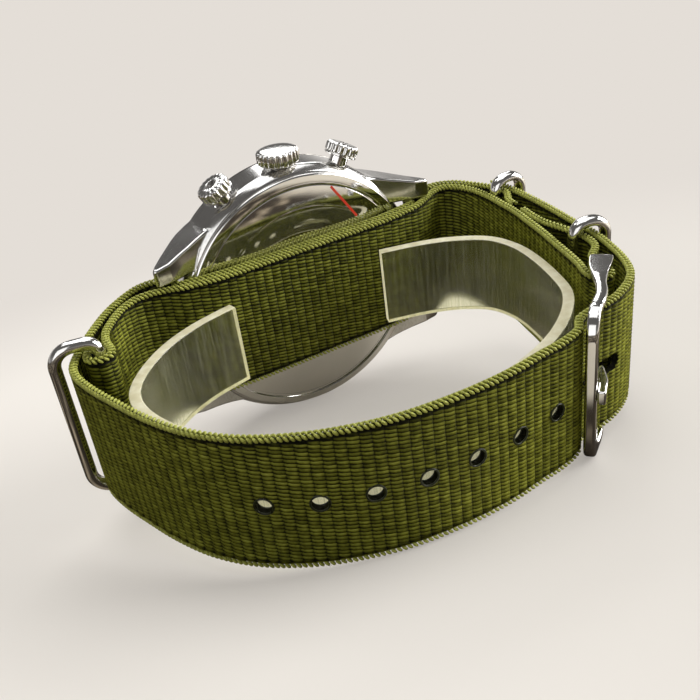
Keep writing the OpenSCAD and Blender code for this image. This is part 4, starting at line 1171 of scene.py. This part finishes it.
def buckle_frame_mesh(name):
    """Frame swept from paddle to paddle: flat and broad at the pin, rounder along arms and front bar."""
    low, high = BUCKLE_BAR_OUT - BUCKLE_BAR_T / 2, BUCKLE_BAR_OUT + BUCKLE_BAR_T / 2
    bar_u, side_z, corner_r, step = BUCKLE_L, FRAME_HALF + ARM_T / 2, 3.1, 0.3
    lower = Route(plan((-1.9, -1.15), (-1.3, -1.55), (0.6, -1.5), (2.6, -1.1), (4.6, -0.55), (6.4, -0.1),
                       (8.6, 0.1), (10.6, -0.1), (bar_u - 1.4, low), (bar_u + 1.5, low)), 10)
    upper = Route(plan((-1.9, 1.15), (-1.3, 1.55), (0.6, 1.5), (3, 1.27), (5.4, 1.32), (7.6, 1.66),
                       (9.8, 1.66), (11.6, 1.45), (bar_u - 1.4, high), (bar_u + 1.5, high)), 10)
    arm_steps = int((bar_u - corner_r + PADDLE_END) / step)
    half_way = [(-PADDLE_END + step * i, side_z, 0.0) for i in range(arm_steps + 1)]
    for degrees in range(0, 91, 6):
        c, s = math.cos(math.radians(degrees)), math.sin(math.radians(degrees))
        half_way.append((bar_u - corner_r + corner_r * s, side_z - corner_r + corner_r * c, degrees))
    half_way += [(bar_u, z, 90.0) for z in (6, 4, 2)]
    stations = half_way + [(bar_u, 0.0, 90.0)] + [(u, -z, 180 - a) for u, z, a in half_way[::-1]]
    shape = bmesh.new()
    rings = []
    for k, (u, z, a) in enumerate(stations):
        way_u, way_z = math.sin(math.radians(a)), math.cos(math.radians(a))
        v_lo, v_hi = height_at(lower, u), height_at(upper, u)
        half_n, half_v = ARM_T / 2 + (BUCKLE_BAR_W - ARM_T) / 2 * way_u, (v_hi - v_lo) / 2
        end = 0.86 if k in (0, len(stations) - 1) else 1.0
        round_off = 0.16 + 0.3 * min(max((u - 2.5) / 3, 0.0), 1.0)
        ring = []
        for side_n, side_v, first in ((1, 1, 0), (-1, 1, 90), (-1, -1, 180), (1, -1, 270)):
            for i in range(6):
                t = math.radians(first + 90 * i / 5)
                n = (side_n * (half_n - round_off) + round_off * math.cos(t)) * end
                v = (v_lo + v_hi) / 2 + (side_v * (half_v - round_off) + round_off * math.sin(t)) * end
                ring.append(shape.verts.new(over_plan(on_buckle(u + n * way_u, v), z + n * way_z)))
        rings.append(ring)
    skin(shape, rings)
    bmesh.ops.recalc_face_normals(shape, faces=shape.faces)
    return weighted(mark_sharp(baked(shape, name), 60), name)


class WATCH_OT_buckle(bpy.types.Operator):
    """Round and polish the buckle frame, its pin and its tang"""

    bl_idname = "watch.buckle"
    bl_label = "Buckle"

    def execute(self, context):
        piece("buckle_frame_polish", buckle_frame_mesh("buckle_frame_polish"), "buckle", ["polished"],
              ("buckle_frame",))
        dressed_copy("tang_polish", "buckle_tang", TANG_ROUNDING, "tang", "polished")
        reach = FRAME_HALF + ARM_T
        half = [(0, reach), (PIN_R * 0.7, reach - 0.02), (PIN_R * 0.97, reach - 0.18), (PIN_R, reach - 0.4)]
        upright = Matrix.Rotation(math.radians(90), 4, "X")
        turned_piece("buckle_pin_polish", "buckle_pin", [(r, -h) for r, h in half] + half[::-1], 50, 40,
                     WATCH @ Matrix.Translation((BUCKLE_AT.x * MM, BUCKLE_AT.y * MM, 0)) @ upright,
                     "buckle", ["polished"])
        return {"FINISHED"}


# Case and controls, in millimetres

CASE_ROUNDING = 0.42
CROWN_FLUTES = 22
PUSHER_FLUTES = 16
DIMPLE_R = 0.66
BACK_RIM_IN = BACK_R - 1.4
FILM_START = Vector((6.6, 16.7))
FILM_END = Vector((10.2, 10.8))
FILM_HALF = 0.2


def dome_h(r):
    """Height of the case back's dome at a radius."""
    return BACK_RIM_LO * max((r - BACK_FLAT_R) / (BACK_RIM_IN - BACK_FLAT_R), 0.0) ** 1.6


def film_line(shape):
    """Thin strip on the dome, from a place near its edge inwards."""
    across = Vector((FILM_END.y - FILM_START.y, FILM_START.x - FILM_END.x)).normalized() * FILM_HALF
    rings = []
    for i in range(13):
        ring = []
        for side, lift in ((-1, 0.01), (-1, 0.05), (1, 0.05), (1, 0.01)):
            p = FILM_START.lerp(FILM_END, i / 12) + across * side
            ring.append(shape.verts.new((p.x * MM, (dome_h(p.length) - lift) * MM, p.y * MM)))
        rings.append(ring)
    skin(shape, rings)


class WATCH_OT_case(bpy.types.Operator):
    """Make the middle case, bezel, case back and crystal"""

    bl_idname = "watch.case"
    bl_label = "Case"

    def execute(self, context):
        dressed_copy("case_body", "mid_case", CASE_ROUNDING, "case", "case", merge=0.2)

        wall = BEZEL_R - BEZEL_BORE_R
        bezel = softened([(BEZEL_BORE_R, FLANK_HI), (BEZEL_R - 0.2, FLANK_HI), (BEZEL_R, FLANK_HI + 0.3),
                          (BEZEL_R - 0.5, FLANK_HI + 0.9), (BEZEL_R - 0.69 * wall, BEZEL_TOP - 0.2),
                          (BEZEL_R - 0.8 * wall, BEZEL_TOP), (BEZEL_BORE_R + 0.2, BEZEL_TOP),
                          (BEZEL_BORE_R, BEZEL_TOP - 0.2)], 0.16)
        turned_piece("bezel_polish", "bezel", bezel, 35)

        radii = [BACK_FLAT_R + (BACK_RIM_IN - BACK_FLAT_R) * i / 14 for i in range(15)]
        dome = [(r, dome_h(r)) for r in radii]
        for r, deep in ((15.2, 0.012), (18.15, 0.03)):
            dome += [(r - 0.12, dome_h(r - 0.12)), (r, dome_h(r) + deep), (r + 0.12, dome_h(r + 0.12))]
        rim = softened([(BACK_RIM_IN + 0.12, BACK_RIM_LO - 0.28), (BACK_R - 0.2, BACK_RIM_LO - 0.1),
                        (BACK_R, BACK_RIM_LO + 0.12), (BACK_R, BACK_RIM_HI), (BACK_THREAD_R, BACK_RIM_HI),
                        (BACK_THREAD_R, BACK_SPIGOT_HI), (BACK_RECESS_R, BACK_SPIGOT_HI),
                        (BACK_RECESS_R, BACK_WALL)], 0.08, closed=False)
        turned_piece("case_back_polish", "case_back", [(0, 0)] + sorted(dome) + rim + [(0, BACK_WALL)], 20)
        piece("back_film_line", mesh_from("back_film_line", film_line, WATCH, smooth=False), "case", ["red"])

        top = [((CRYSTAL_R - 0.5) * i / 12, CRYSTAL_EDGE_HI + CRYSTAL_RISE * (1 - (i / 12) ** 2))
               for i in range(12, -1, -1)]
        glass = [(0, CRYSTAL_LO + 0.8), (CRYSTAL_R - 2.4, CRYSTAL_LO + 0.6), (CRYSTAL_R - 1.6, CRYSTAL_LO),
                 (CRYSTAL_R, CRYSTAL_LO), (CRYSTAL_R, CRYSTAL_EDGE_HI - 0.3)]
        turned_piece("crystal_glass", "crystal", glass + top, 30, 192, materials=["sapphire"])
        return {"FINISHED"}


def control_matrix(angle):
    """Frame whose y axis runs out of the case along a control: 0 is the crown, the rest are pushers."""
    turn = Matrix.Rotation(math.radians(90), 4, "X")
    swing = Matrix.Rotation(math.radians(angle), 4, "Y")
    return WATCH @ Matrix.Translation((0, CONTROL_H * MM, 0)) @ swing @ turn


def flute_wave(count, depth, shares, sharpness):
    """Flutes round a turned piece: wide ridges with narrow grooves. shares holds, for each point of the
    outline, how much of the groove's depth it moves inwards and downwards."""
    def wave(angle, k):
        groove = abs(math.cos(angle * count / 2)) ** sharpness
        inward, down = shares.get(k, (0, 0))
        return -depth * groove * inward, -depth * groove * down
    return wave


class WATCH_OT_controls(bpy.types.Operator):
    """Make the fluted crown and the two pushers"""

    bl_idname = "watch.controls"
    bl_label = "Crown and pushers"

    def execute(self, context):
        a, b, r, bore = CROWN_START, CROWN_END, CROWN_R, TUBE_R + 0.05
        outline = [(0, b), (1.2, b - 0.01), (2.0, b - 0.04), (2.5, b - 0.08), (2.85, b - 0.14),
                   (2.98, b - 0.2), (3.14, b - 0.27), (3.24, b - 0.36), (r, b - 0.48), (r, a + 0.5),
                   (r - 0.02, a + 0.3), (r - 0.12, a + 0.1), (r - 0.32, a), (bore, a), (bore, a + 1.1),
                   (0, a + 1.1)]
        shares = {5: (0.1, 0.1), 6: (0.5, 0.3), 7: (0.9, 0.2), 8: (1, 0), 9: (1, 0), 10: (0.95, 0),
                  11: (0.6, 0)}
        turned_piece("crown_polish", "crown", outline, 48, CROWN_FLUTES * 14, control_matrix(0),
                     "crown_and_stem", ["polished"], wave=flute_wave(CROWN_FLUTES, 0.34, shares, 2.4))

        a, b, r, bore = PUSHER_START, PUSHER_END, PUSHER_R, PUSHER_TUBE_R + 0.05
        outline = [(0, b - 0.42), (0.3, b - 0.38), (0.48, b - 0.24), (0.58, b - 0.08), (0.66, b - 0.02),
                   (0.8, b), (1.4, b - 0.02), (1.9, b - 0.07), (2.2, b - 0.14), (2.42, b - 0.26),
                   (r - 0.04, b - 0.46), (r, b - 0.64), (r, a + 0.62), (r - 0.02, a + 0.5),
                   (r - 0.16, a + 0.42), (r - 0.16, a + 0.34), (r - 0.04, a + 0.28), (r - 0.04, a + 0.12),
                   (r - 0.2, a), (bore, a), (bore, a + PUSHER_SKIRT), (PUSHER_STEM_R, a + PUSHER_SKIRT),
                   (PUSHER_STEM_R, PUSHER_STEM_START), (0, PUSHER_STEM_START)]
        shares = {6: (0, 0.06), 7: (0, 0.14), 8: (0.1, 0.25), 9: (0.4, 0.4), 10: (0.85, 0.3), 11: (1, 0),
                  12: (1, 0), 13: (0.9, 0)}
        for name, cad_node, angle in (("start_pusher_polish", "start_pusher", PUSHER_ANGLE),
                                      ("reset_pusher_polish", "reset_pusher", -PUSHER_ANGLE)):
            place = control_matrix(angle)
            made = turned_piece(name, cad_node, outline, 50, PUSHER_FLUTES * 12, place, cad_node,
                                ["polished", "dimple"], wave=flute_wave(PUSHER_FLUTES, 0.26, shares, 4))
            way = place.to_3x3().col[1].normalized()
            middle = place @ Vector((0, (b - 0.2) * MM, 0))
            # The dimple's faces get the dark steel of painted shade
            for face in made.data.polygons:
                if (face.center - middle).length < DIMPLE_R * MM and face.normal.dot(way) > 0.1:
                    face.material_index = 1
        return {"FINISHED"}


class WATCH_OT_insert(bpy.types.Operator):
    """Make the clear C-shaped display insert"""

    bl_idname = "watch.insert"
    bl_label = "Display insert"

    def execute(self, context):
        half_t, half_h = INSERT_T / 2, INSERT_H / 2
        outline = softened([(-half_t, -half_h), (half_t, -half_h), (half_t, half_h), (-half_t, half_h)], 0.16)
        section = [(t * MM, z * MM) for t, z in outline]
        centres, frames = [], []
        for place, heading in Route(INSERT_ROUTE, 8).walk(150):
            inward = left_of(heading)
            centres.append(over_plan(place + inward * half_t, INSERT_Z))
            frames.append((plan_way(inward), CROWN_WAY))
        mesh = mesh_from("clear_insert", lambda shape: tube(shape, centres, frames, section))
        made = piece("clear_insert", mark_sharp(mesh, 40), "insert", ["clear", "sawn", "sawn_low"],
                     ("display_insert",))
        for face in made.data.polygons:
            # Faces towards the crown get the faint painted glow; the faces away from it and the ends get the
            # brighter one
            rise = face.normal.dot(CROWN_WAY)
            if rise > 0.8:
                face.material_index = 1
            elif rise < -0.5 or len(face.vertices) > 4:
                face.material_index = 2
        return {"FINISHED"}


# Dial and movement

PRINT_H = DIAL_HI + 0.012
TRACK_R = 15.05
CAPITAL_SHARE = 0.72
OUTER_NUMBERS = {12: 13.6, 6: 14.0}


def circle_line(z, r, h, count):
    """Points of a circle on the dial, z from its middle towards the crown."""
    return [at_watch(r * c, h, z + r * s) for c, s in turns(count)]


def bar_template(length, width, height):
    def build(shape):
        bmesh.ops.create_cube(shape, size=1.0)
        bmesh.ops.scale(shape, vec=(width * MM, length * MM, height * MM), verts=shape.verts)
    return mesh_from("bar", build, smooth=False)


def number_mesh(hour, dial):
    """Number of an hour, read with 12 up and the crown at the right."""
    text = bpy.data.curves.new(f"number_{hour}", "FONT")
    text.body = str(hour)
    text.size = dial.number_h / CAPITAL_SHARE
    text.align_x = text.align_y = "CENTER"
    text.extrude = 0.02 * MM
    mesh = settled_mesh(placed(text.name, text), text.name)
    r = OUTER_NUMBERS.get(hour, dial.number_r / MM)
    around = math.radians(30 * hour)
    mesh.transform(axes_at(CROWN_WAY, NOON_WAY, DIAL_WAY,
                           at_watch(r * math.cos(around), PRINT_H, r * math.sin(around))))
    return mesh


class WATCH_OT_dial(bpy.types.Operator):
    """Print the dial: hour numbers, minute track and small-dial tracks"""

    bl_idname = "watch.dial"
    bl_label = "Dial"

    def execute(self, context):
        shape = bmesh.new()
        for hour in (1, 2, 4, 5, 7, 8, 10, 11, 12, 6):
            mesh = number_mesh(hour, context.scene.watch_dial)
            shape.from_mesh(mesh)
            bpy.data.meshes.remove(mesh)
        bmesh.ops.remove_doubles(shape, verts=shape.verts, dist=SAME_PLACE)
        bmesh.ops.recalc_face_normals(shape, faces=shape.faces)
        piece("hour_numbers", baked(shape, "hour_numbers"), "case", ["lume"])

        small_r = SUBDIAL_R - 0.9
        for name, z, r, h, points, bar, marks in (
                ("minute_track", 0, TRACK_R, PRINT_H, 180, (0.7, 0.12, 0.02), 60),
                ("small_seconds_track", -SUBDIAL_AT, small_r, DIAL_HI - 0.1, 72, (0.55, 0.1, 0.03), 30),
                ("counter_track", SUBDIAL_AT, small_r, DIAL_HI - 0.1, 72, (0.55, 0.1, 0.03), 30)):
            mesh = repeated(name, [circle_line(z, r, h, points)], bar_template(*bar),
                            2 * math.pi * r / marks * MM, DIAL_WAY, "white", closed=True)
            piece(name, mesh, "case", ["white"])
        return {"FINISHED"}


CAD_FINISHES = {
    "polished": ("crown_tube", "pusher_tubes", "spring_bars"),
    "rubber": ("crystal_gasket", "back_gasket"),
    "dial": ("dial", "dial_ring"),
    "lume": ("hour_markers", "hour_hand", "minute_hand", "small_seconds_hand", "minute_counter_hand"),
    "red": ("chrono_hand",),
    "satin": ("subdial_rims", "movement_ring", "winding_stem", "winding_pinion", "crown_wheel",
              "ratchet_wheel", "escape_wheel", "pallet_fork", "column_wheel", "operating_lever",
              "reset_hammer"),
    "striped": ("train_bridge", "barrel_bridge", "balance_cock"),
    "gilt": ("mainplate", "ring_clamps", "barrel", "centre_wheel", "third_wheel", "fourth_wheel",
             "balance_wheel", "chrono_wheel", "minute_counter_wheel"),
    "blued": ("bridge_screws", "mainspring", "hairspring"),
}


class WATCH_OT_movement(bpy.types.Operator):
    """Finish the pieces inside the case and the hands"""

    bl_idname = "watch.movement"
    bl_label = "Movement and hands"

    def execute(self, context):
        for name, nodes in CAD_FINISHES.items():
            for cad_node in nodes:
                mesh = frame["nodes"][cad_node].data
                mesh.materials.clear()
                mesh.materials.append(finish(name))
        return {"FINISHED"}


# Stage: the camera's angles in degrees and place in mm, in the watch's axes, and its lens

VIEW_AZIMUTH = -25.69
VIEW_ELEVATION = 31.82
VIEW_ROLL = -7.98
VIEW_FROM = (-51.6, -118.8, 69.1)
FRAME_PX = 700
FOCAL_PX = 903.76
SENSOR_MM = 36.0
FLOOR_HALF = 12.0
FLOOR_Z = -0.0002


def add_camera():
    """Camera at the photograph's place."""
    a, e, roll = (math.radians(v) for v in (VIEW_AZIMUTH, VIEW_ELEVATION, VIEW_ROLL))
    back = Vector((math.sin(a) * math.cos(e), -math.cos(a) * math.cos(e), math.sin(e)))
    right = (-back).cross(Vector((0, 0, 1))).normalized()
    up = right.cross(-back)
    right, up = right * math.cos(roll) + up * math.sin(roll), up * math.cos(roll) - right * math.sin(roll)
    data = bpy.data.cameras.new("camera")
    data.sensor_width = SENSOR_MM
    data.lens = FOCAL_PX * SENSOR_MM / FRAME_PX
    data.clip_start = 5 * MM
    data.clip_end = 20.0
    camera = placed("camera", data)
    camera.matrix_world = WATCH @ axes_at(right, up, back, Vector(VIEW_FROM) * MM)
    bpy.context.scene.camera = camera


# Soft lights: name, direction in the watch's axes, distance and width and height in metres, brightness
SOFT_LIGHTS = (
    ("window", (-0.74, -0.45, 0.47), 0.6, 0.5, 0.42, 1.25),
    ("overhead", (0.1, 0.25, 0.96), 0.7, 0.75, 0.65, 1.95),
    ("behind_right", (0.42, 0.77, 0.52), 0.7, 0.34, 0.2, 5.0),
    ("behind_left", (-0.18, 0.77, 0.62), 0.7, 0.12, 0.12, 5.0),
    ("right", (0.9, -0.2, 0.4), 0.7, 0.5, 0.46, 8.5),
)


def add_soft_light(name, way, distance, width, height, brightness, share):
    """Area light whose surface is as bright as stated, whatever its size."""
    data = bpy.data.lights.new(name, "AREA")
    data.shape = "RECTANGLE"
    data.size = width
    data.size_y = height
    data.energy = brightness * share * math.pi * width * height
    light = placed(name, data)
    toward = (WATCH.to_3x3() @ Vector(way)).normalized()
    light.location = toward * distance
    light.rotation_euler = (-toward).to_track_quat("-Z", "Y").to_euler()


def set_world(stage):
    """Dim surroundings with a brighter horizon behind, so that the steel shows dark and light."""
    world = bpy.data.worlds.new("studio")
    bpy.context.scene.world = world
    world.use_nodes = True
    tree = world.node_tree
    tree.nodes.clear()
    way = Value(node(tree, "ShaderNodeTexCoord"), "Generated")
    dusk = way.axes()[2].spread(0.02, 0.42, 1.0, 0.0, "SMOOTHSTEP")
    side = way.vector("DOT_PRODUCT", (0.55, 0.8, 0.0)).spread(-0.5, 0.9, 0.25, 1.0, "SMOOTHSTEP")
    glow = dusk * side * way.noise(2.2, 2).spread(0.35, 0.65, 0.75, 1.25)
    surround = glow.mix((0.13, 0.125, 0.12, 1), (0.85, 0.82, 0.79, 1))
    seen = Value(node(tree, "ShaderNodeLightPath"), "Is Camera Ray")
    shown = node(tree, "ShaderNodeBackground", {"Color": seen.mix(surround, tuple(stage.ground)),
                                                "Strength": 1.0})
    node(tree, "ShaderNodeOutputWorld", {"Surface": shown.outputs[0]})


class WATCH_OT_stage(bpy.types.Operator):
    """Set the backdrop, the soft lights, the world and the camera"""

    bl_idname = "watch.stage"
    bl_label = "Stage"

    def execute(self, context):
        stage = context.scene.watch_stage

        def build(shape):
            shape.faces.new([shape.verts.new((x * FLOOR_HALF, y * FLOOR_HALF, FLOOR_Z))
                             for x, y in ((-1, -1), (1, -1), (1, 1), (-1, 1))])
        mesh = mesh_from("floor", build, smooth=False)
        mesh.materials.append(backdrop_material(stage))
        floor = placed("floor", mesh)
        for light in SOFT_LIGHTS:
            add_soft_light(*light, stage.light)
        set_world(stage)
        add_camera()
        context.scene.view_settings.view_transform = "Standard"
        return {"FINISHED"}


PIECES = (WATCH_OT_strap, WATCH_OT_loops, WATCH_OT_buckle, WATCH_OT_case, WATCH_OT_controls, WATCH_OT_insert,
          WATCH_OT_dial, WATCH_OT_movement, WATCH_OT_stage)


class WATCH_PT_pieces(bpy.types.Panel):
    """Lists the watch's pieces and their sizes and colours"""

    bl_idname = "WATCH_PT_pieces"
    bl_label = "Watch"
    bl_space_type = "VIEW_3D"
    bl_region_type = "UI"
    bl_category = "Watch"

    def draw(self, context):
        for piece_class in PIECES:
            self.layout.operator(piece_class.bl_idname)
        for name, group in SETTINGS.items():
            settings = getattr(context.scene, name)
            box = self.layout.box()
            box.label(text=group.__doc__)
            for key in group.__annotations__:
                box.prop(settings, key)


CLASSES = (*SETTINGS.values(), *PIECES, WATCH_PT_pieces)


def register():
    for made in CLASSES:
        bpy.utils.register_class(made)
    for name, group in SETTINGS.items():
        setattr(bpy.types.Scene, name, bpy.props.PointerProperty(type=group))


def unregister():
    for name in SETTINGS:
        delattr(bpy.types.Scene, name)
    for made in reversed(CLASSES):
        bpy.utils.unregister_class(made)


def main():
    register()
    for made in PIECES:
        group, name = made.bl_idname.split(".")
        getattr(getattr(bpy.ops, group), name)()


if __name__ == "__main__":
    main()
